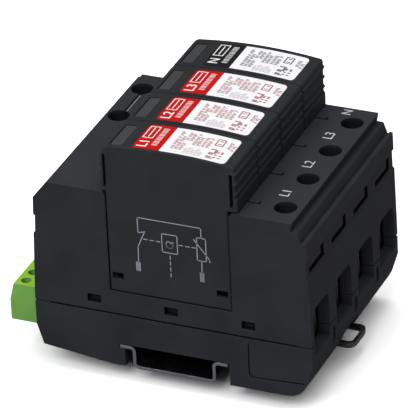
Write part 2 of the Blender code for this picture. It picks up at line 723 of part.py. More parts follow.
def plain_clip_outline():
    """The clip alone, on the earth side."""
    inner = BLADE_SHEET / 2 + GAP
    outer = inner + BAR_SHEET
    floor = WELL_FLOOR + GAP
    top = BAR_RUN_Z + BAR_SHEET
    right = [(BLADE_X - outer, floor), (BLADE_X + outer, floor), (BLADE_X + outer, top),
             (BLADE_X + inner, top), (BLADE_X + inner, floor + BAR_SHEET),
             (BLADE_X - inner, floor + BAR_SHEET), (BLADE_X - inner, top), (BLADE_X - outer, top)]
    return mirrored(right)


def make_bars(copper):
    """Three line bars, the neutral bar that links four clips, and the earth bar with both earth ends."""
    half = BAR_WIDTH / 2
    floor = WELL_FLOOR + GAP
    for module in range(MODULES - 1):
        y = module_y(module)
        bar = prism(clip_outline(), "Y", -half, half)
        finish(bar, f"line_bar_{module + 1}", copper, at=(0, y, 0))
    last = module_y(MODULES - 1)
    cross = (module_y(MODULES - 2) + last) / 2
    reach = BLADE_X + BLADE_SHEET / 2 + GAP + BAR_SHEET
    inside = BLADE_X - BLADE_SHEET / 2 - GAP - BAR_SHEET
    neutral = prism(clip_outline(), "Y", last - half, last + half)
    sheet = (floor, floor + BAR_SHEET)
    links = [block((-reach, -inside), (module_y(0) - half, cross + CROSS_WIDTH / 2), sheet),
             block((-reach, reach), (cross - CROSS_WIDTH / 2, cross + CROSS_WIDTH / 2), sheet),
             block((inside, reach), (cross - CROSS_WIDTH / 2, last), sheet)]
    clips = [prism(plain_clip_outline(), "Y", y - half, y + half)
             for y in (module_y(n) for n in range(MODULES - 1))]
    finish(join(neutral, *links, *clips), "neutral_bar", copper)
    earth = prism(mirrored(clip_outline()), "Y", last - half, last + half)
    bend = BAY_HALF + BAY_WALL + 2 * GAP + BAR_SHEET
    end = TERMINAL_X + CAGE_LENGTH / 2 - GAP
    second = module_y(MODULES - 2)
    tie = block((-bend, -bend + BAR_SHEET), (second - half, last), (BAR_HIGH_Z - 2 * BAR_SHEET, BAR_HIGH_Z + BAR_SHEET))
    foot = block((-end, -bend + BAR_SHEET), (second - half, second + half), (BAR_HIGH_Z, BAR_HIGH_Z + BAR_SHEET))
    finish(join(earth, tie, foot), "earth_bar", copper)
    strip = LINK_SHEET / 2
    length = LINK_LENGTH / 2
    middle = -TERMINAL_X + 1.0
    link = block((middle - strip, middle + strip), (link_y() - length, link_y() + length),
                 (BLOCK_TOP - LINK_DEPTH, BLOCK_TOP - GAP))
    finish(link, "earth_link", copper)


def make_terminals(steel):
    """Clamping cages and captive screws of the six terminals."""
    cage_half = CHAMBER_WIDTH / 2 - GAP
    low = POCKET_FLOOR + GAP
    roof = BAR_HIGH_Z + BAR_SHEET + 2 * GAP
    length = CAGE_LENGTH / 2
    cage = block((-length, length), (-cage_half, cage_half), (low, roof + CAGE_TOP))
    window = block((-length - 1, length + 1), (-cage_half + CAGE_WALL, cage_half - CAGE_WALL),
                   (low + CAGE_BOTTOM, roof))
    cage = cut(cage, window, drum((0, 0), SCREW_R + GAP, "Z", roof - 1, roof + CAGE_TOP + 1))
    tip = BAR_HIGH_Z + BAR_SHEET + GAP
    head_top = SCREW_HEAD_Z + SCREW_HEAD
    screw = join(drum((0, 0), SCREW_R, "Z", tip, SCREW_HEAD_Z + 1),
                 drum((0, 0), SCREW_HEAD_R, "Z", SCREW_HEAD_Z, head_top))
    slot = DRIVE_SLOT / 2
    reach = SCREW_HEAD_R * 0.8
    screw = cut(screw, block((-reach, reach), (-slot, slot), (head_top - DRIVE_DEPTH, head_top + 1)),
                block((-slot, slot), (-reach, reach), (head_top - DRIVE_DEPTH, head_top + 1)))
    finish(cage, "cage", steel)
    finish(screw, "screw", steel, smooth=True)
    for name, side, module in terminals():
        at = (side * TERMINAL_X, module_y(module), 0)
        copy_of(cage, f"{name}_cage", at)
        copy_of(screw, f"{name}_screw", at)
    bpy.data.objects.remove(cage)
    bpy.data.objects.remove(screw)


def make_catch(steel):
    """The foot catch, a joggled strip with an eyelet, and its compression spring."""
    tongue = catch_tongue_z()
    tip = RAIL_WIDTH / 2 - CATCH_GRIP
    joggle = CATCH_JOGGLE_X
    half = CATCH_WIDTH / 2
    profile = [(tip, tongue), (joggle - CATCH_SHEET, tongue), (joggle - CATCH_SHEET, CATCH_LOW_Z),
               (CATCH_END_X, CATCH_LOW_Z), (CATCH_END_X, CATCH_LOW_Z + CATCH_SHEET),
               (joggle, CATCH_LOW_Z + CATCH_SHEET), (joggle, tongue + CATCH_SHEET),
               (tip, tongue + CATCH_SHEET)]
    catch = prism(profile, "Y", -half, half)
    plan = rounded((tip - half, -half), (CATCH_END_X, half), CATCH_ROUND)
    catch = combine(catch, [prism(plan, "Z", -1, tongue + CATCH_SHEET + 1)], "INTERSECT")
    hole = rounded((CATCH_END_X - CATCH_BAR - CATCH_HOLE, -half + CATCH_SIDE),
                   (CATCH_END_X - CATCH_BAR, half - CATCH_SIDE), 1.4)
    room = SPRING_R + SPRING_WIRE + GAP
    end = CATCH_SLOT_X + SPRING_LENGTH + 2 * GAP + POST_LENGTH + GAP
    slot = block((CATCH_SLOT_X, end), (-room, room), (tongue - 1, tongue + CATCH_SHEET + 1))
    catch = cut(catch, prism(hole, "Z", CATCH_LOW_Z - 1, CATCH_LOW_Z + CATCH_SHEET + 1), slot)
    finish(catch, "foot_catch", steel, smooth=True)
    curve = bpy.data.curves.new("catch_spring", "CURVE")
    curve.dimensions = "3D"
    curve.bevel_depth = SPRING_WIRE * MM
    curve.bevel_resolution = 1
    curve.use_fill_caps = True
    per_turn = 10
    count = SPRING_TURNS * per_turn
    spline = curve.splines.new("POLY")
    spline.points.add(count)
    start = CATCH_SLOT_X + GAP + SPRING_WIRE
    length = SPRING_LENGTH - GAP - 2 * SPRING_WIRE
    middle = tongue + CATCH_SHEET / 2
    for index, point in enumerate(spline.points):
        angle = 2 * math.pi * index / per_turn
        point.co = ((start + length * index / count) * MM, SPRING_R * math.cos(angle) * MM,
                    (middle + SPRING_R * math.sin(angle)) * MM, 1.0)
    spring = bpy.data.objects.new("catch_spring", curve)
    bpy.context.scene.collection.objects.link(spring)
    curve.materials.append(steel)


def grip_end(side):
    """The ribbed end of a plug's head, from its foot to below the corner, as if on the line side."""
    foot = BLOCK_TOP + GAP
    end = HEAD_HALF + side * HEAD_SHIFT
    valley = end - RIB_DEPTH
    points = [(end, foot), (end, foot + GRIP_FOOT - RIB_DEPTH), (valley, foot + GRIP_FOOT)]
    pitch = (HEAD_HEIGHT - GRIP_FOOT - HEAD_BROW[side]) / RIB_COUNT
    for rib in range(RIB_COUNT):
        z = foot + GRIP_FOOT + pitch * (rib + 0.5)
        points += [(valley, z - RIB_DEPTH * 1.4), (end, z - RIB_DEPTH * 0.4),
                   (end, z + RIB_DEPTH * 0.4), (valley, z + RIB_DEPTH * 1.4)]
    return points


def head_top(x):
    """Height of a plug's slightly arched top."""
    return HEAD_TOP - HEAD_SAG * ((x - HEAD_CROWN) / HEAD_HALF) ** 2


def corner_x(side):
    """Where the top begins to round over into a ribbed end."""
    return side * (HEAD_HALF + side * HEAD_SHIFT - RIB_DEPTH - HEAD_CORNER[side])


def plug_side(side):
    """Half of a plug's outline, from the bottom of its body to the top's corner, as if on the line side."""
    body = BAY_HALF - GAP
    radius = HEAD_CORNER[side]
    corner = corner_x(side)
    return ([(body, BAY_FLOOR + GAP), (body, BLOCK_TOP + GAP)] + grip_end(side)
            + arc((abs(corner), head_top(corner) - radius), radius, 0, 80, 3 if side > 0 else 4))


def plug_outline():
    """A plug seen from the front: body, shoulders, ribbed grips and arched top."""
    steps = 12
    start, stop = corner_x(1), corner_x(-1)
    along = [start + (stop - start) * k / steps for k in range(1, steps)]
    return plug_side(1) + [(x, head_top(x)) for x in along] + mirrored(plug_side(-1))


def make_plug_shell(plastic):
    """Plug housing: open on its back side, with a ledge for the lid, grip slots and a window."""
    half = PLUG_WIDTH / 2
    outline = plug_outline()
    small = inset(outline, HEAD_EDGE)
    shell = loft([(small, -half), (outline, -half + HEAD_EDGE), (outline, half - HEAD_EDGE), (small, half)],
                 "Y")
    body = BAY_HALF - GAP - PLUG_WALL
    low = BAY_FLOOR + GAP + PLUG_WALL
    high = ceiling_z()
    slot = BLADE_SHEET / 2 + GAP
    blade = BAR_WIDTH / 2 + GAP
    shell = cut(shell, block((-body, body), (-half + SIDE_SKIN, half - SIDE_SKIN), (low, high)),
                block((-body - LEDGE, body + LEDGE), (half - SIDE_SKIN - GAP, half + 1),
                      (low - LEDGE, high + LEDGE)))
    openings = [block(window_range(WINDOW_LENGTH), window_range_y(), (high - 1, HEAD_TOP + 1))]
    for side in (-1, 1):
        openings.append(block(span(side, *GRIP_SLOT_X[side]), (-half - 1, half + 1),
                              (GRIP_SLOT_LOW, GRIP_SLOT_HIGH)))
        openings.append(block(span(side, BLADE_X - slot, BLADE_X + slot), (-blade, blade),
                              (BAY_FLOOR - 1, low + 1)))
        openings.append(block(span(side, SNAP_X - SNAP_LENGTH / 2, SNAP_X + SNAP_LENGTH / 2),
                              (-half - 1, -half + SIDE_SKIN + 1),
                              (SNAP_Z - SNAP_HEIGHT / 2, SNAP_Z + SNAP_HEIGHT / 2)))
    return finish(cut(shell, *openings), "plug_shell", plastic)


def ceiling_z():
    """Underside of the plug's top wall."""
    return HEAD_TOP - HEAD_SAG - PLUG_WALL + 0.2


def window_range(length):
    return WINDOW_X - length / 2, WINDOW_X + length / 2


def window_range_y(less=0.0):
    return WINDOW_Y - WINDOW_WIDTH / 2 + less, WINDOW_Y + WINDOW_WIDTH / 2 - less


def make_lid(plastic):
    """Side lid of a plug, set into the ledge."""
    half = PLUG_WIDTH / 2
    ledge = LEDGE - GAP
    body = BAY_HALF - GAP - PLUG_WALL + ledge
    low = BAY_FLOOR + GAP + PLUG_WALL - ledge
    lid = prism(rounded((-body, low), (body, ceiling_z() + ledge), 0.4, 1), "Y", half - SIDE_SKIN, half)
    return finish(lid, "plug_lid", plastic)


def make_blade(metal, side):
    """Contact blade: tip below the plug, tab beside the varistor."""
    sheet = BLADE_SHEET / 2
    half = BAR_WIDTH / 2
    tip = half - BLADE_TAPER
    outline = [(-tip, BLADE_LOW), (tip, BLADE_LOW), (half, BLADE_LOW + BLADE_TAPER), (half, CORE_HIGH),
               (-half, CORE_HIGH), (-half, BLADE_LOW + BLADE_TAPER)]
    blade = prism(outline, "X", side * BLADE_X - sheet, side * BLADE_X + sheet)
    return finish(blade, "blade", metal)


def make_varistor(surface):
    """The coated varistor block between the blades."""
    reach = BLADE_X - BLADE_SHEET / 2 - GAP
    half = CORE_THICK / 2
    outline = rounded((-reach, CORE_LOW), (reach, CORE_HIGH), 2.5)
    small = inset(outline, 1.0)
    block_shape = loft([(small, -half), (outline, -half + 1.0), (outline, half - 1.0), (small, half)], "Y")
    return finish(block_shape, "varistor", surface, smooth=True)


def make_spark_gap(surface):
    """The gas-filled spark gap of the neutral-to-earth plug, a ribbed ceramic tube between the blades."""
    reach = BLADE_X - BLADE_SHEET / 2 - GAP
    middle = (CORE_LOW + CORE_HIGH) / 2
    radius = CORE_THICK / 2 + 1.5
    cap = 5.0
    tube = join(drum((0, middle), radius - 0.8, "X", -reach + 1, reach - 1),
                drum((0, middle), radius, "X", -reach, -reach + cap),
                drum((0, middle), radius, "X", reach - cap, reach))
    return finish(tube, "spark_gap", surface, smooth=True)


def make_flag(plastic):
    """Trip flag below the window, with the leg that the disconnector moves."""
    top = ceiling_z() - GAP
    low = top - FLAG_SHEET
    left, right = window_range(WINDOW_LENGTH - GAP)
    foot = CORE_HIGH + GAP
    plate = block((left, right), window_range_y(0.4), (low, top))
    return finish(join(plate, block((right - FLAG_LEG, right), (-2.0, 2.0), (foot, low + 0.5))), "flag", plastic)


def make_window(clear):
    """The pane of the status window."""
    low = ceiling_z() + GAP
    left, right = window_range(WINDOW_LENGTH - 2 * GAP)
    pane = prism([(left, low), (right, low), (right, head_top(right) - PANE_SINK),
                  (left, head_top(left) - PANE_SINK)], "Y", *window_range_y(GAP))
    return finish(pane, "window", clear)


def make_plugs(looks):
    """Four plugs: housings, lids, windows, flags, blades and what each protects with."""
    shell = make_plug_shell(looks["plug plastic"])
    lid = make_lid(looks["plug plastic"])
    window = make_window(looks["smoked window"])
    flag = make_flag(looks["green flag"])
    left = make_blade(looks["tinned copper"], -1)
    right = make_blade(looks["tinned copper"], 1)
    varistor = make_varistor(looks["varistor blue"])
    gap_tube = make_spark_gap(looks["ceramic"])
    for module in range(MODULES):
        name = f"plug_{module + 1}"
        carrier = seat(f"{name}_seat", (0, module_y(module), 0))
        last = module == MODULES - 1
        pieces = {"housing": shell, "lid": lid, "window": window, "flag": flag, "blade_left": left,
                  "blade_right": right, "spark_gap" if last else "varistor": gap_tube if last else varistor}
        for part, shape in pieces.items():
            copy_of(shape, f"{name}_{part}", (0, 0, 0), carrier)
    for shape in (shell, lid, window, flag, left, right, varistor, gap_tube):
        bpy.data.objects.remove(shape)


def signal_half():
    """Half width of the green plug."""
    return SIGNAL_POLES * SIGNAL_PITCH / 2 + SIGNAL_MARGIN


def header_y():
    """Middle of the signalling connector, at the first module's side."""
    return -BODY_WIDTH / 2 + 2.3 + GAP + HEADER_WALL + signal_half()


def pole_y(pole):
    return header_y() + (pole - (SIGNAL_POLES - 1) / 2) * SIGNAL_PITCH


def make_signal_connector(green, steel):
    """Header in the base's end wall, and the plug with its three clamping screws."""
    half = signal_half()
    rim = half + HEADER_WALL
    inner = HEADER_OUT - HEADER_DEPTH
    nose = HEADER_DEPTH - GAP
    low, high = HEADER_LOW, HEADER_HIGH
    wall = HEADER_WALL
    header = block((-HEADER_OUT, -inner + wall), (header_y() - rim, header_y() + rim), (low, high))
    cavity = block((-HEADER_OUT - 1, -inner), (header_y() - half + wall, header_y() + half - wall),
                   (low + 2 * wall, high - 2 * wall))
    pin = HEADER_PIN / 2
    middle = (low + high) / 2 - 1.0
    pins = [block((-HEADER_OUT + 2, -inner + 0.5), (pole_y(p) - pin, pole_y(p) + pin),
                  (middle - pin, middle + pin)) for p in range(SIGNAL_POLES)]
    finish(join(cut(header, cavity), *pins), "signal_header", green)

    side = [(-SIGNAL_OUT, low), (-HEADER_OUT - GAP, low), (-HEADER_OUT - GAP, high),
            (-SIGNAL_OUT + SIGNAL_SLOPE, high), (-SIGNAL_OUT, high - SIGNAL_SLOPE_Z)]
    body = prism(side, "Y", header_y() - half, header_y() + half)
    tongue = block((-HEADER_OUT - 1, -HEADER_OUT + nose),
                   (header_y() - half + wall + GAP, header_y() + half - wall - GAP),
                   (low + 2 * wall + GAP, high - 2 * wall - GAP))
    body = join(body, tongue)
    cuts = []
    screw_x = -SIGNAL_SCREW_X
    for pole in range(SIGNAL_POLES):
        y = pole_y(pole)
        cuts.append(drum((screw_x, y), SIGNAL_SCREW_R + GAP, "Z", high - SIGNAL_SCREW_DEPTH, high + 1, 14))
        cuts.append(block((-HEADER_OUT + 1, -HEADER_OUT + nose + 1), (y - pin - GAP, y + pin + GAP),
                          (middle - pin - GAP, middle + pin + GAP)))
        cuts.append(block((-SIGNAL_OUT - 2, -SIGNAL_OUT + 2.2), (y - 1.5, y + 1.5), (low + 2.2, low + 5.6)))
    finish(cut(body, *cuts), "signal_plug", green)

    top = high - SIGNAL_SCREW_SINK
    slot = 0.3
    for pole in range(SIGNAL_POLES):
        screw = drum((0, 0), SIGNAL_SCREW_R, "Z", high - SIGNAL_SCREW_DEPTH + GAP, top, 14)
        screw = cut(screw, block((-SIGNAL_SCREW_R, SIGNAL_SCREW_R), (-slot, slot), (top - 0.8, top + 1)))
        finish(screw, f"signal_screw_{pole + 1}", steel, at=(screw_x, pole_y(pole), 0), smooth=True)


def make_signalling(plastic):
    """Small switch on the well's floor, and the slide above it that a tripped plug moves."""
    low = WELL_FLOOR + GAP
    start = -BODY_WIDTH / 2 + SIDE_WALL + 2.5
    half = SWITCH_LENGTH / 2
    switch = block((-half, half), (start, start + SWITCH_WIDTH), (low, low + SWITCH_HEIGHT))
    middle = start + SWITCH_WIDTH / 2
    top = low + SWITCH_HEIGHT
    button = block((-1.0, 1.0), (middle - SWITCH_BUTTON / 2, middle + SWITCH_BUTTON / 2), (top - 0.5, top + 0.8))
    finish(join(switch, button), "signal_switch", plastic)
    top = BAY_FLOOR - FLOOR_SHEET - GAP
    bar_low = top - SLIDE_SHEET
    bar = block((-SLIDE_WIDTH / 2, SLIDE_WIDTH / 2), (start + SWITCH_WIDTH + 0.4, module_y(MODULES - 1) + 4),
                (bar_low, top))
    finger = block((-1.2, 1.2), (start + SWITCH_WIDTH + 0.4, start + SWITCH_WIDTH + 2.2),
                   (low + SWITCH_HEIGHT + 0.8 + GAP, bar_low + 0.5))
    finish(join(bar, finger), "signal_slide", plastic)


def main():
    for item in list(bpy.data.objects):
        bpy.data.objects.remove(item)
    looks = {
        "housing black": material("housing black", (0.027, 0.027, 0.030), 0.45),
        "plug plastic": material("plug plastic", (0.024, 0.024, 0.027), 0.40),
        "smoked window": material("smoked window", (0.09, 0.09, 0.10), 0.15),
        "green flag": material("green flag", (0.05, 0.35, 0.08), 0.5),
        "varistor blue": material("varistor blue", (0.05, 0.12, 0.30), 0.5),
        "ceramic": material("ceramic", (0.70, 0.68, 0.62), 0.4),
        "zinc plated": material("zinc plated", (0.62, 0.63, 0.65), 0.30, 1.0),
        "tinned copper": material("tinned copper", (0.72, 0.70, 0.68), 0.35, 1.0),
        "connector green": material("connector green", (0.16, 0.50, 0.05), 0.45),
        "switch black": material("switch black", (0.03, 0.03, 0.03), 0.5),
    }
    make_rail(looks["zinc plated"])
    make_base(looks["housing black"])
    make_cover(looks["housing black"])
    make_bars(looks["tinned copper"])
    make_terminals(looks["zinc plated"])
    make_catch(looks["zinc plated"])
    make_plugs(looks)
    make_signal_connector(looks["connector green"], looks["zinc plated"])
    make_signalling(looks["switch black"])


main()
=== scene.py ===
"""A four-module surge arrester clipped on a short length of rail, dressed for its studio photograph.

X runs from the earth side to the line side, Y along the rail past the four modules, and Z out from the
rail. Blender works in metres, so lengths that go to it are multiplied by MM.
"""
import math

import bpy
from mathutils import Matrix, Vector


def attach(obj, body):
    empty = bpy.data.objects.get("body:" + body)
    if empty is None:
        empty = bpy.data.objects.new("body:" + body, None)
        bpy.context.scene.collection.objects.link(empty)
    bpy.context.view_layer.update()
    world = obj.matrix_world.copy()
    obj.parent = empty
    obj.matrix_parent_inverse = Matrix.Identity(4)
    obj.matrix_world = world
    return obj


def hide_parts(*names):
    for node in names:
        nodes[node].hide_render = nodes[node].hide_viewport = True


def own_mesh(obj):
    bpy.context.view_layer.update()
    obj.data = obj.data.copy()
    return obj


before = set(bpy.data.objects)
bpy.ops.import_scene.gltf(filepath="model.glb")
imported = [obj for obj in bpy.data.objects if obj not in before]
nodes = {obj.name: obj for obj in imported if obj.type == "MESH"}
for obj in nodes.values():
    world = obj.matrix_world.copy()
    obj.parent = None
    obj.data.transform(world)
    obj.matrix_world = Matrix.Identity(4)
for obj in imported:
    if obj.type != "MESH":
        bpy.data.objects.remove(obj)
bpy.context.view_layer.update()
MM = 0.001

PLUGS = (1, 2, 3, 4)
PITCH = 18 * MM                # from one module to the next
TERMINAL_X = 34.6 * MM         # middle of the terminal screws, from the rail's middle
BLOCK_TOP = 60 * MM            # top of the two terminal blocks
HEAD_TOP = 77.05 * MM          # crown of the plugs' arched heads
FRONT = -35.65 * MM            # front face of the first plug
QUARTER_TURN = math.pi / 2


# The camera stands well back to the front left of the line-side corner, with a long lens, so that the
# upright edges stay almost parallel.
LENS, SENSOR_WIDTH = 436.34, 36
CAMERA_PLACE = (0.526409, -1.187295, 0.782054)
TO_RIGHT = Vector((0.92167651, 0.38578079, -0.04105601))
AHEAD = Vector((-0.35398613, 0.79293701, -0.49592814))
camera_data = bpy.data.cameras.new("camera")
camera_data.sensor_width = SENSOR_WIDTH
camera_data.lens = LENS
camera_data.dof.use_dof = False
camera = bpy.data.objects.new("camera", camera_data)
camera.matrix_world = Matrix.Translation(CAMERA_PLACE) @ Matrix(
    (TO_RIGHT, TO_RIGHT.cross(AHEAD), -AHEAD)).transposed().to_4x4()
bpy.context.scene.collection.objects.link(camera)
bpy.context.scene.camera = camera


# What the materials and the Geometry Nodes trees are wired with.
class Wire:
    """One socket in a node tree. Sums on it add Math nodes, and make() adds any other node."""

    def __init__(self, tree, socket=None):
        self.tree, self.socket = tree, socket

    def make(self, kind, inputs=None, output=0, **settings):
        """Adds a node with these inputs and settings, and gives one of its outputs."""
        node = self.tree.nodes.new(kind)
        for name, value in settings.items():
            setattr(node, name, value)
        for name, value in (inputs or {}).items():
            if isinstance(value, Wire):
                self.tree.links.new(value.socket, node.inputs[name])
            else:
                node.inputs[name].default_value = value
        return Wire(self.tree, node.outputs[output])

    def beside(self, output):
        """Another output of the node that this socket is on."""
        return Wire(self.tree, self.socket.node.outputs[output])

    def sum(self, operation, first, second=0.0):
        return self.make("ShaderNodeMath", {0: first, 1: second}, operation=operation)

    def __add__(self, other):
        return self.sum("ADD", self, other)

    def __sub__(self, other):
        return self.sum("SUBTRACT", self, other)

    def __rsub__(self, other):
        return self.sum("SUBTRACT", other, self)

    def __mul__(self, other):
        return self.sum("MULTIPLY", self, other)

    def __truediv__(self, other):
        return self.sum("DIVIDE", self, other)

    def __lt__(self, other):
        return self.sum("LESS_THAN", self, other)

    def __gt__(self, other):
        return self.sum("GREATER_THAN", self, other)

    def size(self):
        return self.sum("ABSOLUTE", self)

    def most(self, other):
        return self.sum("MAXIMUM", self, other)

    def within(self, low, high):
        """1 between two lengths in millimetres, and 0 outside them."""
        return (self > low * MM) * (self < high * MM)

    def from_middle(self, start, pitch):
        """How far off the middle of its own cell a place is, along a row of cells from the start."""
        return self.sum("FLOORED_MODULO", self - start, pitch) - pitch / 2

    def between(self, low, high, first=0.0, last=1.0):
        """Goes from first to last as this goes from low to high."""
        return self.make("ShaderNodeMapRange", {0: self, 1: low, 2: high, 3: first, 4: last})

    def blend(self, first, last):
        """The first colour at 0, and the last at 1."""
        return self.make("ShaderNodeMix", {0: self, 6: first, 7: last}, 2, data_type="RGBA")

    def vector(self, operation, first, second, output=0):
        return self.make("ShaderNodeVectorMath", {0: first, 1: second}, output, operation=operation)

    def noise(self, size, detail=2.0, stretch=None):
        """Soft spots of a size, mostly from 0.3 to 0.7, drawn out along an axis with a low stretch."""
        place = self.vector("MULTIPLY", self, stretch) if stretch else self
        return self.make("ShaderNodeTexNoise", {"Vector": place, "Scale": 1 / size, "Detail": detail})

    def axis(self, which):
        return self.make("ShaderNodeSeparateXYZ", {0: self}, "XYZ".index(which))


def paint(red, green, blue):
    """A colour as it is seen on a screen, 0 to 255, turned to the light it stands for."""
    return tuple(((v / 255 + 0.055) / 1.055) ** 2.4 if v > 10 else v / 3294.6
                 for v in (red, green, blue)) + (1.0,)


def toned(colour, share):
    """The colour with a share of its light, or with more than it had."""
    return tuple(c * share for c in colour[:3]) + (1.0,)


def new_finish(name):
    """A material, its shader, and the place on the piece."""
    surface = bpy.data.materials.new(name)
    surface.use_nodes = True
    shader = surface.node_tree.nodes["Principled BSDF"]
    return surface, shader, Wire(surface.node_tree).make("ShaderNodeTexCoord", output="Object")


def feed(shader, name, value):
    value.tree.links.new(value.socket, shader.inputs[name])


def feed_bump(shader, height, strength, depth, normal=None):
    """Small bumps of a depth, on the normal of a rounded edge where one is given."""
    given = {"Strength": strength, "Distance": depth, "Height": height}
    if normal is not None:
        given["Normal"] = normal
    feed(shader, "Normal", height.make("ShaderNodeBump", given))


def normal_of(place):
    return place.make("ShaderNodeNewGeometry", output="Normal")


def edge_of(place, radius):
    """The normal that a slightly rounded edge has, and how near the edge is, from 0 to 1."""
    rounded = place.make("ShaderNodeBevel", {"Radius": radius}, samples=6)
    same = place.vector("DOT_PRODUCT", rounded, normal_of(place), "Value")
    return rounded, (1 - same).between(0.01, 0.22)


def dress(surface, *names):
    for name in names:
        nodes[name].data.materials.clear()
        nodes[name].data.materials.append(surface)


def of_plugs(*pieces):
    """The node names of these pieces in all four plugs."""
    return ["plug_%d_%s" % (n, piece) for n in PLUGS for piece in pieces]


# Moulded plastic, with a fine eroded grain. Handling has rubbed its edges smoother, and they are
# painted paler, partly as wear and partly as a painted highlight. The flats vary slightly in gloss.
GRAIN, GRAIN_DEPTH = 0.45 * MM, 0.012 * MM
CLOUD, SCUFF = 11 * MM, 2.4 * MM
SHADE_SHARE, GLOW_SHARE, DEEP_SHARE = 0.87, 1.16, 0.12


def moulded(name, colour, wear_and_highlight_tone, rough, edge=0.22 * MM, shine=0.4, deep=None, top=None):
    """The top is a colour and a height: faces above it that look up get that colour, a painted highlight.

    Where deep(place) is 1 the plastic is painted almost black, a painted shade where hardly any light
    gets in.
    """
    surface, shader, place = new_finish(name)
    drift = place.noise(CLOUD, 3.0)
    pores = place.noise(GRAIN, 2.5)
    rounded, edge_wear_and_highlight = edge_of(place, edge)
    scuffs = place.noise(SCUFF, 4.0, (1.0, 0.35, 1.0))
    paler = toned(colour, GLOW_SHARE)
    body = drift.between(0.3, 0.7).blend(toned(colour, SHADE_SHARE), paler)
    body = (pores.between(0.35, 0.65) * 0.35).blend(body, paler)
    if top:
        lit, height = top
        # Painted highlight: faces that look up, above the top's height, are made lighter as if lit from
        # above.
        lit_upward = normal_of(place).axis("Z").between(0.85, 0.95) * (place.axis("Z") > height)
        body = lit_upward.blend(body, (drift + pores * 0.3).between(0.4, 0.9).blend(lit, toned(lit, 1.2)))
    # Edges painted paler in scuffed patches: partly wear, partly a painted highlight.
    body = (edge_wear_and_highlight * scuffs.between(0.3, 0.62) * 0.75).blend(body, wear_and_highlight_tone)
    # Painted shade: recesses are darkened almost to black where little light gets in.
    if deep:
        body = (deep(place) * 0.92).blend(body, toned(colour, DEEP_SHARE))
    feed(shader, "Base Color", body)
    feed(shader, "Roughness", drift.between(0.3, 0.7, rough - 0.05, rough + 0.06) - edge_wear_and_highlight * 0.1
         + pores.between(0.3, 0.7, -0.03, 0.03))
    feed_bump(shader, pores, 0.55, GRAIN_DEPTH, rounded)
    shader.inputs["Specular IOR Level"].default_value = shine
    return surface


# The base and cover housings are black glass-filled polyamide. The numbers say where they are open or
# stepped, in millimetres, where painted shade darkens them.
WALL_FOOT, WALL_HEAD = (18.5, 45.0), (54.0, 44.3)      # height of the line wall, and how far out it is
NOTCH_DEPTH, NOTCH_FROM, NOTCH_Z = (0.6, 0.68), 41.0, (42.3, 47.4)
CHAMBER_FACE, CHAMBER_FADE, CHAMBER_Z, CHAMBER_DARK = 41.3, 2.0, (10.0, 53.2), 0.8
SHAFT_RADIUS, SHAFT_TOP, SHAFT_FADE, SHAFT_DARK = 3.62, 59.9, 1.2, 0.7
INSIDE = 35.2                                          # half the width of what counts as inside
SEAM_Z, SEAM_SIDE, SEAM_OUT = (17.83, 18.6), 35.5, 40.0
GROOVE_SIDE, GROOVE_X, GROOVE_Z = (35.1, 35.55), (24.2, 43.2), (4.2, 16.4)


def painted_recess_shade(place):
    """Painted shade, 0 to 1, in the notches, screw shafts, terminal chambers, seam and groove."""
    x, y, z = (place.axis(which) for which in "XYZ")
    out, side = x.size(), y.size()
    wall = z.between(WALL_FOOT[0] * MM, WALL_HEAD[0] * MM, WALL_FOOT[1] * MM, WALL_HEAD[1] * MM)
    notch = (wall - x).between(NOTCH_DEPTH[0] * MM, NOTCH_DEPTH[1] * MM)
    notch = notch * (x > NOTCH_FROM * MM) * z.within(*NOTCH_Z)
    chamber = (CHAMBER_FACE * MM - out).between(0.0, CHAMBER_FADE * MM) * z.within(*CHAMBER_Z)
    across, along = y.from_middle(-2 * PITCH, PITCH), out - TERMINAL_X
    shaft = across * across + along * along < (SHAFT_RADIUS * MM) ** 2
    shaft = shaft * (SHAFT_TOP * MM - z).between(0.0, SHAFT_FADE * MM)
    dark = notch.most(chamber * CHAMBER_DARK).most(shaft * SHAFT_DARK) * (side < INSIDE * MM)
    seam = z.within(*SEAM_Z) * (side < SEAM_SIDE * MM) * (out < SEAM_OUT * MM)
    groove = side.within(*GROOVE_SIDE) * x.within(*GROOVE_X) * z.within(*GROOVE_Z)
    return dark.most(seam.most(groove))


# The housings get a painted highlight on upward faces above the block tops, and painted shade in
# recesses.
dress(moulded("housing_black", paint(44, 45, 49), paint(78, 80, 84), 0.58, shine=0.05, deep=painted_recess_shade,
              top=(paint(48, 49, 53), 59.5 * MM)), "base_housing", "cover_housing")


# The rail: a top-hat section rolled from 1 mm steel strip, galvanised and passivated, so it has fine
# lines along its length. Its sheared ends are plain paler metal.
STREAK_BRIGHT, EDGE_BRIGHT = paint(222, 222, 220), paint(236, 236, 234)


def zinc(name, bright, dull, rough, run, streaks=0.4, cut_ends=None):
    """Bare or plated metal with fine lines. They run along the axis where run is small."""
    surface, shader, place = new_finish(name)
    lines = place.noise(0.5 * MM, 3.0, run)
    clouds = place.noise(5 * MM, 4.0)
    rounded, edge_wear_and_highlight = edge_of(place, 0.12 * MM)
    tone = clouds.between(0.32, 0.68).blend(dull, bright)
    tone = (lines.between(0.4, 0.75) * streaks).blend(tone, STREAK_BRIGHT)
    # Edges painted paler: partly worn plating, partly a painted highlight.
    tone = (edge_wear_and_highlight * 0.7).blend(tone, EDGE_BRIGHT)
    if cut_ends:
        tone = (normal_of(place).axis("Y").size() > 0.7).blend(tone, cut_ends)
    feed(shader, "Base Color", tone)
    feed(shader, "Roughness", clouds.between(0.3, 0.7, rough - 0.07, rough + 0.09)
         + lines.between(0.3, 0.7, -0.05, 0.05))
    feed_bump(shader, lines, 0.4, 0.006 * MM, rounded)
    shader.inputs["Metallic"].default_value = 1.0
    return surface


ALONG_X, ALONG_Y, ALONG_Z = (0.06, 1.0, 1.0), (1.0, 0.03, 1.0), (1.0, 1.0, 0.08)
NO_RUN = (1.0, 1.0, 1.0)
dress(zinc("rail_zinc", paint(96, 97, 101), paint(66, 67, 71), 0.32, ALONG_Y, streaks=0.08,
           cut_ends=paint(166, 165, 176)), "din_rail_section")
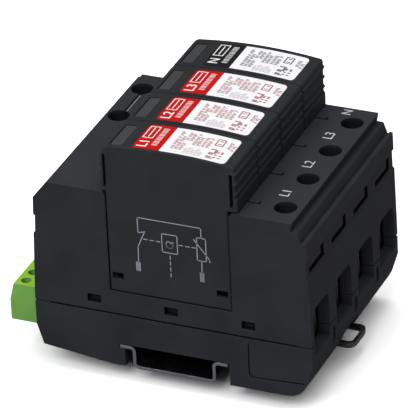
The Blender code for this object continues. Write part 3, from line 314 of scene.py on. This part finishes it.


# The foot catch and its spring: the catch is pressed from darker oil-blackened strip with an eyelet for a
# screwdriver. The spring is coiled from bright drawn wire and lies in a slot of the catch, between the
# slot's end and a post of the base. The catch presses it as it is drawn out; here it is a fixed coil.
dress(zinc("catch_steel", paint(70, 70, 82), paint(44, 44, 54), 0.36, (0.05, 1.0, 1.0)), "foot_catch")
COIL = {"Turns": 6.0, "Radius": 1.45 * MM, "Wire": 0.22 * MM, "Length": 7.26 * MM,
        "Place": (20.92 * MM, 0.0, 5.45 * MM)}


def new_tree(name, inputs):
    """A Geometry Nodes tree with named inputs, as a dict of wires, and its output node."""
    tree = bpy.data.node_groups.new(name, "GeometryNodeTree")
    tree.interface.new_socket("Geometry", in_out="INPUT", socket_type="NodeSocketGeometry")
    for label, kind in inputs.items():
        tree.interface.new_socket(label, in_out="INPUT", socket_type="NodeSocket" + kind)
    tree.interface.new_socket("Geometry", in_out="OUTPUT", socket_type="NodeSocketGeometry")
    source = tree.nodes.new("NodeGroupInput")
    wires = {s.name: Wire(tree, s) for s in source.outputs if s.name}
    return tree, wires, tree.nodes.new("NodeGroupOutput")


def grown(name, tree, values, mesh=None):
    """The tree's result with these input values, as a plain mesh object at the origin."""
    carrier = bpy.data.objects.new(name, mesh or bpy.data.meshes.new(name))
    bpy.context.scene.collection.objects.link(carrier)
    step = carrier.modifiers.new("made", "NODES")
    step.node_group = tree
    for item in tree.interface.items_tree:
        if item.in_out == "INPUT" and item.name in values:
            step[item.identifier] = values[item.name]
    shape = bpy.data.meshes.new_from_object(carrier.evaluated_get(bpy.context.evaluated_depsgraph_get()))
    bpy.data.objects.remove(carrier)
    shape.name = name
    piece = bpy.data.objects.new(name, shape)
    bpy.context.scene.collection.objects.link(piece)
    return piece


coil_tree, given, coil_end = new_tree("wound_coil", {
    "Turns": "Float", "Radius": "Float", "Wire": "Float", "Length": "Float", "Place": "Vector",
    "Steel": "Material"})
wound = given["Turns"].make("GeometryNodeCurveSpiral", {
    "Resolution": 24, "Rotations": given["Turns"], "Start Radius": given["Radius"],
    "End Radius": given["Radius"], "Height": given["Length"]})
section = wound.make("GeometryNodeCurvePrimitiveCircle", {"Resolution": 10, "Radius": given["Wire"]})
wound = wound.make("GeometryNodeCurveToMesh", {
    "Curve": wound, "Profile Curve": section, "Fill Caps": True})
wound = wound.make("GeometryNodeTransform", {
    "Geometry": wound, "Rotation": (QUARTER_TURN, 0.0, QUARTER_TURN), "Translation": given["Place"]})
wound = wound.make("GeometryNodeRealizeInstances", {"Geometry": wound})
wound = wound.make("GeometryNodeSetMaterial", {"Geometry": wound, "Material": given["Steel"]})
coil_tree.links.new(wound.socket, coil_end.inputs["Geometry"])
spring_wire = zinc("spring_wire", paint(190, 190, 192), paint(142, 143, 147), 0.24, NO_RUN)
spring = grown("spring_coil", coil_tree, {**COIL, "Steel": spring_wire})
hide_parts("catch_spring")
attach(spring, "unit")
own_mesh(spring)


# The terminals: zinc-plated cage clamps and screws, and punched copper bars under a matt layer of tin.
# The bars run from the cages to the spring clips that grip the plugs' blades.
terminals = ("line_1", "line_2", "line_3", "neutral", "earth_1", "earth_2")
dress(zinc("clamp_zinc", paint(196, 197, 199), paint(150, 151, 154), 0.3, ALONG_Z),
      *[terminal + "_cage" for terminal in terminals])
dress(zinc("screw_zinc", paint(188, 187, 180), paint(140, 139, 134), 0.26, NO_RUN),
      *[terminal + "_screw" for terminal in terminals], *["signal_screw_%d" % n for n in (1, 2, 3)])
dress(zinc("bar_tin", paint(214, 212, 206), paint(184, 182, 176), 0.38, ALONG_X),
      "line_bar_1", "line_bar_2", "line_bar_3", "neutral_bar", "earth_bar",
      *of_plugs("blade_left", "blade_right"))


LINK_X, HIGHLIGHT_HALF, HIGHLIGHT_LOW = -33.6 * MM, 0.2 * MM, 59.6 * MM


def link_metal():
    """The strip between the earth screws: painted shade on its sides, a narrow painted highlight on top.
    """
    surface, shader, place = new_finish("link_strip")
    # Painted highlight along the middle of the top; everything else is painted darker as shade.
    line = ((place.axis("X") - LINK_X).size() < HIGHLIGHT_HALF) * (place.axis("Z") > HIGHLIGHT_LOW)
    bright = place.noise(0.8 * MM).blend(paint(196, 196, 194), paint(220, 220, 218))
    feed(shader, "Base Color", line.blend(paint(92, 92, 94), bright))
    feed(shader, "Roughness", place.noise(1.2 * MM).between(0.3, 0.7, 0.32, 0.46))
    shader.inputs["Metallic"].default_value = 1.0
    return surface


dress(link_metal(), "earth_link")


# The signalling set: a header and microswitch in black, the slide that the plugs' trip parts move, and
# a green plug-in terminal block whose three screws sit in sunk holes.
POLE_PITCH, POLES_START = 5.08 * MM, -31.62 * MM
POLE_X, POLE_HOLE, POLE_TOP = -50.8 * MM, 1.42 * MM, 19.6 * MM
dress(moulded("switch_black", paint(40, 40, 42), paint(92, 92, 94), 0.4, shine=0.45),
      "signal_header", "signal_switch")
dress(moulded("slide_white", paint(205, 204, 196), paint(226, 226, 222), 0.44), "signal_slide")


def sunk(place):
    """Painted shade, from 0 to 1, down the three screw holes of the green block."""
    x, y, z = (place.axis(which) for which in "XYZ")
    across, along = y.from_middle(POLES_START, POLE_PITCH), x - POLE_X
    return (across * across + along * along < POLE_HOLE ** 2) * (POLE_TOP - z).between(0.0, 1.0 * MM)


# The green block gets painted shade down its screw holes and a painted highlight on its upward faces.
dress(moulded("connector_green", paint(108, 162, 72), paint(176, 214, 132), 0.4, edge=0.18 * MM,
              shine=0.3, deep=sunk, top=(paint(134, 184, 48), 14 * MM)), "signal_plug")


# The plugs: black housings with ribbed grips, each closed by a lid with a smoked window over the status
# flag. Inside sit the varistor block, or the spark gap in the neutral plug.
dress(moulded("plug_black", paint(43, 44, 46), paint(78, 80, 84), 0.55, edge=0.18 * MM, shine=0.08),
      *of_plugs("housing", "lid"))
dress(moulded("flag_green", paint(58, 150, 70), paint(120, 190, 128), 0.45), *of_plugs("flag"))


def smoked():
    """Dark grey pane: a glossy face with a moulded frost in it, and edges painted pale as a highlight."""
    surface, shader, place = new_finish("smoked_window")
    frost = place.noise(0.9 * MM, 3.0)
    rounded, edge_wear_and_highlight = edge_of(place, 0.2 * MM)
    body = frost.between(0.3, 0.7).blend(paint(56, 56, 59), paint(61, 62, 65))
    # Painted highlight: the pane's edges are painted pale grey.
    feed(shader, "Base Color", (edge_wear_and_highlight * 0.8).blend(body, paint(150, 150, 154)))
    feed(shader, "Roughness", frost.between(0.3, 0.7, 0.2, 0.3))
    feed_bump(shader, frost, 0.06, 0.01 * MM, rounded)
    shader.inputs["Specular IOR Level"].default_value = 0.3
    return surface


def glazed(name, low, high, rough, size):
    """A dipped or fired coat that has settled in soft runs."""
    surface, shader, place = new_finish(name)
    runs = place.noise(size, 3.0, (1.0, 1.0, 0.4))
    rounded, edge_wear_and_highlight = edge_of(place, 0.5 * MM)
    feed(shader, "Base Color", runs.between(0.3, 0.7).blend(low, high))
    feed(shader, "Roughness", runs.between(0.3, 0.7, rough, rough + 0.12) + edge_wear_and_highlight * 0.1)
    feed_bump(shader, runs, 0.5, 0.05 * MM, rounded)
    return surface


dress(smoked(), *of_plugs("window"))
dress(glazed("varistor_coat", paint(38, 78, 150), paint(52, 98, 176), 0.3, 3 * MM),
      "plug_1_varistor", "plug_2_varistor", "plug_3_varistor")
dress(glazed("gap_ceramic", paint(206, 201, 190), paint(226, 222, 212), 0.22, 2 * MM), "plug_4_spark_gap")


# The plug labels: printed foil with rounded corners, laid over the arched head of each plug. The end by
# the window is a coloured band, red on the line plugs and black on the neutral one. The rest is white.
ARCH = {"Sag": 1.5 * MM, "Half": 21.9 * MM, "Crown": 1.3 * MM}
LABEL_LEFT, LABEL_RIGHT, BAND_END = -10.4 * MM, 19.1 * MM, -1.6 * MM
LABEL_WIDTH, LABEL_CORNER, LABEL_STEPS = 14.6 * MM, 1.4 * MM, 151
FOIL, INK = 0.06 * MM, 0.02 * MM                       # thickness of the foil and of the ink
FOIL_LIFT, LETTER_LIFT = 0.005 * MM, 0.004 * MM        # keeps one layer clear of the one below
LABEL_OFF = 1.0 * MM                                   # how far a label's middle is before its module's
MERGED = 1e-7
label_y = {n: (n - 2.5) * PITCH - LABEL_OFF for n in PLUGS}


def draped(geometry, given):
    """Lets a flat shape down on to the arch of the head."""
    along = (geometry.make("GeometryNodeInputPosition").axis("X") - given["Crown"]) / given["Half"]
    drop = along.make("ShaderNodeCombineXYZ", {2: along * along * given["Sag"] * -1})
    return drop.make("GeometryNodeSetPosition", {"Geometry": geometry, "Offset": drop})


foil_tree, given, foil_end = new_tree("laid_foil", {
    "Length": "Float", "Width": "Float", "Corner": "Float", "Thickness": "Float", "Steps": "Int",
    "Middle": "Vector", "Band End": "Float", **dict.fromkeys(ARCH, "Float"), "Foil": "Material",
    "Band": "Material"})
sheet = given["Length"].make("GeometryNodeMeshGrid", {
    "Size X": given["Length"], "Size Y": given["Width"],
    "Vertices X": given["Steps"] + 1, "Vertices Y": 2})
spot = sheet.make("GeometryNodeInputPosition")
past = (spot.axis("X").size() - (given["Length"] / 2 - given["Corner"])).most(0.0)
round_end = past.sum("SQRT", (given["Corner"] * given["Corner"] - past * past).most(0.0))
reach = (given["Width"] / 2 - given["Corner"] + round_end) / (given["Width"] / 2)
sheet = sheet.make("GeometryNodeSetPosition", {"Geometry": sheet, "Position": sheet.make(
    "ShaderNodeCombineXYZ", {0: spot.axis("X"), 1: spot.axis("Y") * reach})})
raised = sheet.make("GeometryNodeExtrudeMesh", {
    "Mesh": sheet, "Offset Scale": given["Thickness"], "Individual": False})
under = sheet.make("GeometryNodeFlipFaces", {"Mesh": sheet})
whole = sheet.make("GeometryNodeJoinGeometry", {"Geometry": raised})
whole.tree.links.new(under.socket, whole.socket.node.inputs["Geometry"])
whole = whole.make("GeometryNodeMergeByDistance", {"Geometry": whole, "Distance": MERGED})
whole = whole.make("GeometryNodeSetPosition", {"Geometry": whole, "Offset": given["Middle"]})
whole = whole.make("GeometryNodeSetMaterial", {"Geometry": whole, "Material": given["Foil"]})
whole = whole.make("GeometryNodeSetMaterial", {
    "Geometry": whole, "Material": given["Band"],
    "Selection": whole.make("GeometryNodeInputPosition").axis("X") < given["Band End"]})
whole = draped(whole, given)
whole = whole.make("GeometryNodeRealizeInstances", {"Geometry": whole})
foil_tree.links.new(whole.socket, foil_end.inputs["Geometry"])


def printed(name, colour, speck):
    """Printed foil: even ink with a faint mottle and a soft shine."""
    surface, shader, place = new_finish(name)
    mottle = place.noise(1.8 * MM, 4.0)
    fibres = place.noise(0.16 * MM, 2.0)
    specks = mottle.between(0.35, 0.75) * 0.5 + fibres.between(0.5, 0.8) * 0.2
    feed(shader, "Base Color", specks.blend(colour, speck))
    feed(shader, "Roughness", mottle.between(0.3, 0.7, 0.46, 0.58))
    feed_bump(shader, mottle, 0.12, 0.01 * MM)
    shader.inputs["Specular IOR Level"].default_value = 0.12
    return surface


foil_white = printed("foil_white", paint(234, 233, 236), paint(222, 222, 225))
band_red = printed("band_red", paint(190, 10, 4), paint(178, 10, 4))
band_black = printed("band_black", paint(26, 26, 29), paint(34, 34, 37))
ink_worn = printed("ink_worn", paint(206, 209, 216), paint(150, 153, 160))
ink_white = printed("ink_white", paint(236, 236, 236), paint(222, 222, 222))
ink_red = printed("ink_red", paint(150, 62, 66), paint(168, 86, 90))
ink_grey = printed("ink_grey", paint(34, 34, 38), paint(48, 48, 52))
ink_faint = printed("ink_faint", paint(176, 164, 168), paint(190, 180, 184))
ink_pale = printed("ink_pale", paint(150, 154, 166), paint(132, 136, 148))

for n in PLUGS:
    label = grown("plug_%d_label" % n, foil_tree, {
        "Length": LABEL_RIGHT - LABEL_LEFT, "Width": LABEL_WIDTH, "Corner": LABEL_CORNER,
        "Thickness": FOIL, "Steps": LABEL_STEPS, "Band End": BAND_END, **ARCH,
        "Middle": ((LABEL_LEFT + LABEL_RIGHT) / 2, label_y[n], HEAD_TOP + FOIL_LIFT),
        "Foil": foil_white, "Band": band_black if n == 4 else band_red})
    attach(label, "plug_%d" % n)


# Printing: each line is one thin bar of ink along an edge of a flat drawing, laid over the arch.
ink_tree, given, ink_end = new_tree("ink_strokes", {
    "Stroke": "Float", "Ink": "Float", **dict.fromkeys(ARCH, "Float"), "Turn": "Float", "Place": "Vector",
    "Colour": "Material"})
start = given["Stroke"].make("GeometryNodeInputMeshEdgeVertices", output="Position 1")
run = start.vector("SUBTRACT", start.beside("Position 2"), start)
length = run.make("ShaderNodeVectorMath", {0: run}, "Value", operation="LENGTH")
capture = ink_tree.nodes.new("GeometryNodeCaptureAttribute")
capture.domain = "EDGE"
capture.capture_items.new("VECTOR", "run")
capture.capture_items.new("FLOAT", "length")
ink_tree.links.new(given["Geometry"].socket, capture.inputs["Geometry"])
ink_tree.links.new(run.socket, capture.inputs["run"])
ink_tree.links.new(length.socket, capture.inputs["length"])
held = {label: Wire(ink_tree, capture.outputs[label]) for label in ("Geometry", "run", "length")}
middles = run.make("GeometryNodeMeshToPoints", {"Mesh": held["Geometry"]}, mode="EDGES")
bar = run.make("GeometryNodeMeshCube", {"Size": (1.0, 1.0, 1.0)})
turned = run.make("FunctionNodeAlignRotationToVector", {"Vector": held["run"]}, axis="X", pivot_axis="Z")
sized = run.make("ShaderNodeCombineXYZ", {
    0: held["length"] + given["Stroke"], 1: given["Stroke"], 2: given["Ink"]})
strokes = run.make("GeometryNodeInstanceOnPoints", {
    "Points": middles, "Instance": bar, "Rotation": turned, "Scale": sized})
strokes = run.make("GeometryNodeRealizeInstances", {"Geometry": strokes})
strokes = draped(strokes, given)
strokes = run.make("GeometryNodeSetMaterial", {"Geometry": strokes, "Material": given["Colour"]})
strokes = run.make("GeometryNodeTransform", {
    "Geometry": strokes, "Translation": given["Place"],
    "Rotation": run.make("ShaderNodeCombineXYZ", {0: given["Turn"]})})
ink_tree.links.new(strokes.socket, ink_end.inputs["Geometry"])


def path(*points, step=None):
    """Edges along the points, as pairs of ends in millimetres, none longer than a step, if given."""
    pieces = []
    for a, b in zip(points, points[1:]):
        a, b = Vector(a), Vector(b)
        count = max(1, math.ceil((b - a).length / step - 0.01)) if step else 1
        pieces += [(a.lerp(b, k / count), a.lerp(b, (k + 1) / count)) for k in range(count)]
    return pieces


def drawn(name, lines, values):
    """The lines, in millimetres, as strokes of ink."""
    mesh = bpy.data.meshes.new(name)
    corners = [(x * MM, y * MM, 0.0) for line in lines for x, y in line]
    mesh.from_pydata(corners, [(k, k + 1) for k in range(0, len(corners), 2)], [])
    return grown(name, ink_tree, values, mesh)


CAPITAL_SHARE = 0.73                                   # a capital's height, as a share of the type size


def lettering(name, words, height, at, surface, weight=0.0, arch=False):
    """Flat letters of ink, made a mesh, that read along Y, with their foot line's middle at a place."""
    curve = bpy.data.curves.new(name, "FONT")
    curve.body, curve.size, curve.extrude, curve.offset = words, height / CAPITAL_SHARE, INK / 2, weight
    curve.align_x, curve.resolution_u = "CENTER", 6
    carrier = bpy.data.objects.new(name, curve)
    bpy.context.scene.collection.objects.link(carrier)
    mesh = bpy.data.meshes.new_from_object(carrier.evaluated_get(bpy.context.evaluated_depsgraph_get()))
    bpy.data.objects.remove(carrier)
    mesh.transform(Matrix.Translation((at[0], at[1], at[2] + INK / 2 + LETTER_LIFT))
                   @ Matrix.Rotation(QUARTER_TURN, 4, "Z"))
    if arch:
        for v in mesh.vertices:
            v.co.z -= ARCH["Sag"] * ((v.co.x - ARCH["Crown"]) / ARCH["Half"]) ** 2
    mesh.materials.clear()
    mesh.materials.append(surface)
    mesh.name = name
    piece = bpy.data.objects.new(name, mesh)
    bpy.context.scene.collection.objects.link(piece)
    return piece


# The print on the labels, in millimetres, with Y from the middle of each label. The band has a plain
# phase letter, a blank box and a scale. The white has rows of ticks where such labels have small print, a
# plain symbol and a block of dots.
TICK, TICK_APART, SHORT_TICK = 0.9, 0.52, 0.495


def ticks(x, *spans):
    """A row of ticks across a label, between pairs of distances from its middle. Some are short."""
    places = [(low + k * TICK_APART, k)
              for low, high in spans for k in range(int((high - low) / TICK_APART) + 1)]
    return [((x, y), (x + (SHORT_TICK if k % 3 == 1 else TICK), y)) for y, k in places]


LINE_ROWS = (
    (0.9, (-4.6, -2.6), (-2.1, 1.3), (2.0, 3.0), (3.5, 5.6)),
    (2.2, (-4.6, -3.2), (-2.7, -0.4), (0.3, 3.2)),
    (3.5, (-4.6, -1.9), (-1.3, -0.3), (1.4, 2.9), (3.5, 5.6)), (4.8, (1.4, 4.0), (4.6, 5.6)),
    (6.3, (-0.6, 1.0), (1.6, 4.6), (5.1, 5.9)), (7.6, (-0.6, 2.3), (2.9, 4.0)),
    (9.1, (-0.6, 0.6), (1.2, 2.4), (3.0, 4.6)), (10.5, (-0.6, 2.0), (2.6, 3.6), (4.2, 4.9)),
    (16.6, (1.2, 2.4), (3.0, 4.8)), (17.9, (0.6, 1.6), (2.2, 3.4)))
NOTE_ROWS = (
    (2.6, (-6.1, -5.6)), (5.2, (-6.1, -3.2)), (6.4, (-6.1, -4.2), (-3.8, -2.6)), (7.6, (-6.1, -3.4)),
    (8.8, (-6.1, -4.8), (-4.4, -2.6)), (10.0, (-6.1, -3.6)))
SCALE_Y = (-4.6, -4.1, -3.3, -2.7, -2.2, -1.4, -0.8, -0.1, 0.5, 1.3, 1.8, 2.4, 3.2, 3.9, 4.4, 5.0, 5.6)
DOT_X = (12.7, 13.4, 14.1, 14.8, 15.5, 16.2)
DOT_Y = (-5.8, -5.1, -4.4, -3.7, -3.0, -2.3, -1.6, -0.9)
line_print = [edge for row in LINE_ROWS for edge in ticks(*row)]
note_print = [edge for row in NOTE_ROWS for edge in ticks(*row)]
socket = path((12.6, 1.6), (14.9, 1.6), (14.9, 5.2), (12.6, 5.2), (12.6, 1.6))
socket += path((13.3, 2.5), (14.2, 2.5)) + path((13.3, 4.3), (14.2, 4.3))
dots = [((x + 0.02, y), (x + 0.32, y)) for i, x in enumerate(DOT_X) for j, y in enumerate(DOT_Y)
        if (i * 5 + j * 3 + i * j) % 7 not in (1, 4, 6)]
scale = [((-5.1, y), (-3.5, y)) for y in SCALE_Y]
field = path((-9.6, -0.6), (-9.6, 6.2), (-6.5, 6.2), (-6.5, -0.6), (-9.6, -0.6), step=1.6)
field += path((-8.05, 0.2), (-8.05, 5.4))

PHASES = {1: "L1", 2: "L2", 3: "L3", 4: "N"}
PHASE_X, PHASE_Y, PHASE_TALL, PHASE_WEIGHT = -6.4 * MM, -4.1 * MM, 3.3 * MM, 0.05 * MM
on_label = HEAD_TOP + FOIL_LIFT + FOIL
for n in PLUGS:
    y = label_y[n]
    letter = lettering("plug_%d_mark" % n, PHASES[n], PHASE_TALL, (PHASE_X, y + PHASE_Y, on_label),
                       ink_white, PHASE_WEIGHT, arch=True)
    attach(letter, "plug_%d" % n)
    tone = ink_grey if n == 4 else ink_red
    for kind, lines, stroke, colour in (
            ("field", field, 0.34, ink_white), ("scale", scale, 0.22, ink_white),
            ("lines", line_print, 0.26, tone), ("notes", note_print, 0.24, ink_faint),
            ("socket", socket, 0.35, tone), ("dots", dots, 0.5, tone)):
        print_piece = drawn("plug_%d_%s" % (n, kind), lines, {
            "Ink": INK, **ARCH, "Place": (0.0, y, on_label + INK / 2), "Stroke": stroke * MM,
            "Colour": colour})
        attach(print_piece, "plug_%d" % n)


# The diagram on the front face of the first plug: a thermal trip that opens the switch beside the
# varistor, printed in pale grey ink with plain symbols. Places are X and Z in millimetres.
diagram = path((-9.6, 48.0), (-9.6, 53.2), (10.8, 53.2), (10.8, 49.8))                  # supply line
diagram += path((-9.6, 48.0), (-7.6, 48.6))                                            # switch
diagram += path((-7.4, 48.7), (-9.8, 43.2), (-9.9, 37.7))
diagram += path((-1.95, 42.8), (3.0, 42.8), (3.0, 49.1), (-1.95, 49.1), (-1.95, 42.8))  # trip
diagram += path((9.3, 42.0), (12.2, 42.0), (12.2, 49.8), (9.3, 49.8), (9.3, 42.0))      # varistor
diagram += path((8.4, 48.9), (13.2, 42.9), (13.3, 42.0))
diagram += path((10.7, 42.0), (10.6, 37.8))
PAD_STROKES = 5                                        # spaces between the strokes that fill a pad
for left, right, low, high in ((-10.7, -9.3, 34.9, 37.7), (9.95, 11.2, 34.9, 37.8)):
    for k in range(PAD_STROKES + 1):
        x = left + 0.1 + (right - left - 0.2) * k / PAD_STROKES
        diagram += path((x, low), (x, high))
ARC_STEPS, ARC_START, ARC_SWEEP = 12, 0.95 * math.pi, 1.35 * math.pi
angles = [ARC_START + ARC_SWEEP * k / ARC_STEPS for k in range(ARC_STEPS + 1)]
diagram += path(*[(0.55 + 1.15 * math.cos(a), 45.7 + 1.25 * math.sin(a)) for a in angles])
diagram += path((-0.6, 46.1), (0.2, 46.9), (1.0, 46.0), (1.75, 46.6))
DASH = 1.1
diagram += [((x, 46.1), (x + DASH, 46.1)) for x in (-7.9, -5.8, -3.7, 3.6, 5.7, 7.7)]
diagram += [((0.5, z), (0.5, z - DASH)) for z in (41.8, 39.8, 37.8, 35.8)]
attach(drawn("plug_1_diagram", diagram, {
    "Stroke": 0.3 * MM, "Ink": INK, "Sag": 0.0, "Half": 1.0, "Crown": 0.0, "Turn": QUARTER_TURN,
    "Place": (0.0, FRONT - INK / 2, 0.0), "Colour": ink_pale}), "plug_1")


# The terminal letters on the line-side block: worn white ink beside each screw hole.
for mark, x, y in (("L1", 32.9, -19.0), ("L2", 32.9, -0.8), ("L3", 32.3, 17.5), ("N", 32.2, 32.9)):
    letter = lettering("letter_" + mark, mark, 3.2 * MM, (x * MM, y * MM, BLOCK_TOP), ink_worn)
    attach(letter, "unit")


# The floor is a plain white sheet a little below the rail, so that it keeps a soft shadow close to the
# part. The camera sees it brighter than it lights the part, and mirrors see it darker.
FLOOR_HALF, FLOOR_Z = 3.0, -5.0 * MM
FLOOR_LIGHT, FLOOR_SEEN, FLOOR_MIRRORED = 0.6, 0.88, -0.32
floor_mesh = bpy.data.meshes.new("floor")
floor_mesh.from_pydata([(-FLOOR_HALF, -FLOOR_HALF, FLOOR_Z), (FLOOR_HALF, -FLOOR_HALF, FLOOR_Z),
                        (FLOOR_HALF, FLOOR_HALF, FLOOR_Z), (-FLOOR_HALF, FLOOR_HALF, FLOOR_Z)],
                       [], [(0, 1, 2, 3)])
floor = bpy.data.objects.new("floor", floor_mesh)
bpy.context.scene.collection.objects.link(floor)
floor_finish, _, place = new_finish("floor_paper")
seen = place.make("ShaderNodeLightPath", output="Is Camera Ray")
paper = place.noise(30 * MM).blend(paint(249, 249, 250), paint(252, 252, 253))
share = seen * FLOOR_SEEN + seen.beside("Is Glossy Ray") * FLOOR_MIRRORED + FLOOR_LIGHT
paper = paper.make("ShaderNodeVectorMath", {0: paper, "Scale": share}, operation="SCALE")
paper = paper.make("ShaderNodeBsdfDiffuse", {"Color": paper})
floor_end = floor_finish.node_tree.nodes["Material Output"]
floor_finish.node_tree.links.new(paper.socket, floor_end.inputs["Surface"])
floor_mesh.materials.append(floor_finish)


# Light comes from two square lamps, a weak one overhead and a strong one in front, and from the upper
# part of a white sky. What the camera, mirrors and clear pieces see of the sky is set by itself.
LAMP_AIM = Vector((0, 0, 0.03))
SKY_FROM, SKY_FULL, SKY_LIGHT = 0.4, 0.8, 1.2          # where it starts, where it is full, its strength
SKY_SEEN, SKY_MIRRORED, SKY_THROUGH = 0.95, 0.2, 0.4


def softbox(name, size, power, at):
    data = bpy.data.lights.new(name, "AREA")
    data.shape, data.size, data.energy = "SQUARE", size, power
    lamp = bpy.data.objects.new(name, data)
    lamp.location = at
    lamp.rotation_euler = (LAMP_AIM - lamp.location).to_track_quat("-Z", "Y").to_euler()
    bpy.context.scene.collection.objects.link(lamp)


softbox("key", 0.9, 2.6, (0.05, 0.2, 1.2))
softbox("fill", 0.8, 9.0, (-0.12, -1.0, 0.9))

world = bpy.data.worlds.new("studio")
bpy.context.scene.world = world
world.use_nodes = True
background = world.node_tree.nodes["Background"]
seen = Wire(world.node_tree).make("ShaderNodeLightPath", output="Is Camera Ray")
mirrored, through = seen.beside("Is Glossy Ray"), seen.beside("Is Transmission Ray")
overhead = seen.make("ShaderNodeTexCoord").axis("Z").between(SKY_FROM, SKY_FULL) * SKY_LIGHT
lit = overhead * (1 - seen) * (1 - mirrored) + seen * SKY_SEEN + mirrored * SKY_MIRRORED
lit = lit + through * SKY_THROUGH
world.node_tree.links.new(lit.socket, background.inputs["Strength"])
background.inputs["Color"].default_value = (1.0, 1.0, 1.0, 1.0)

bpy.context.scene.view_settings.view_transform = "Standard"
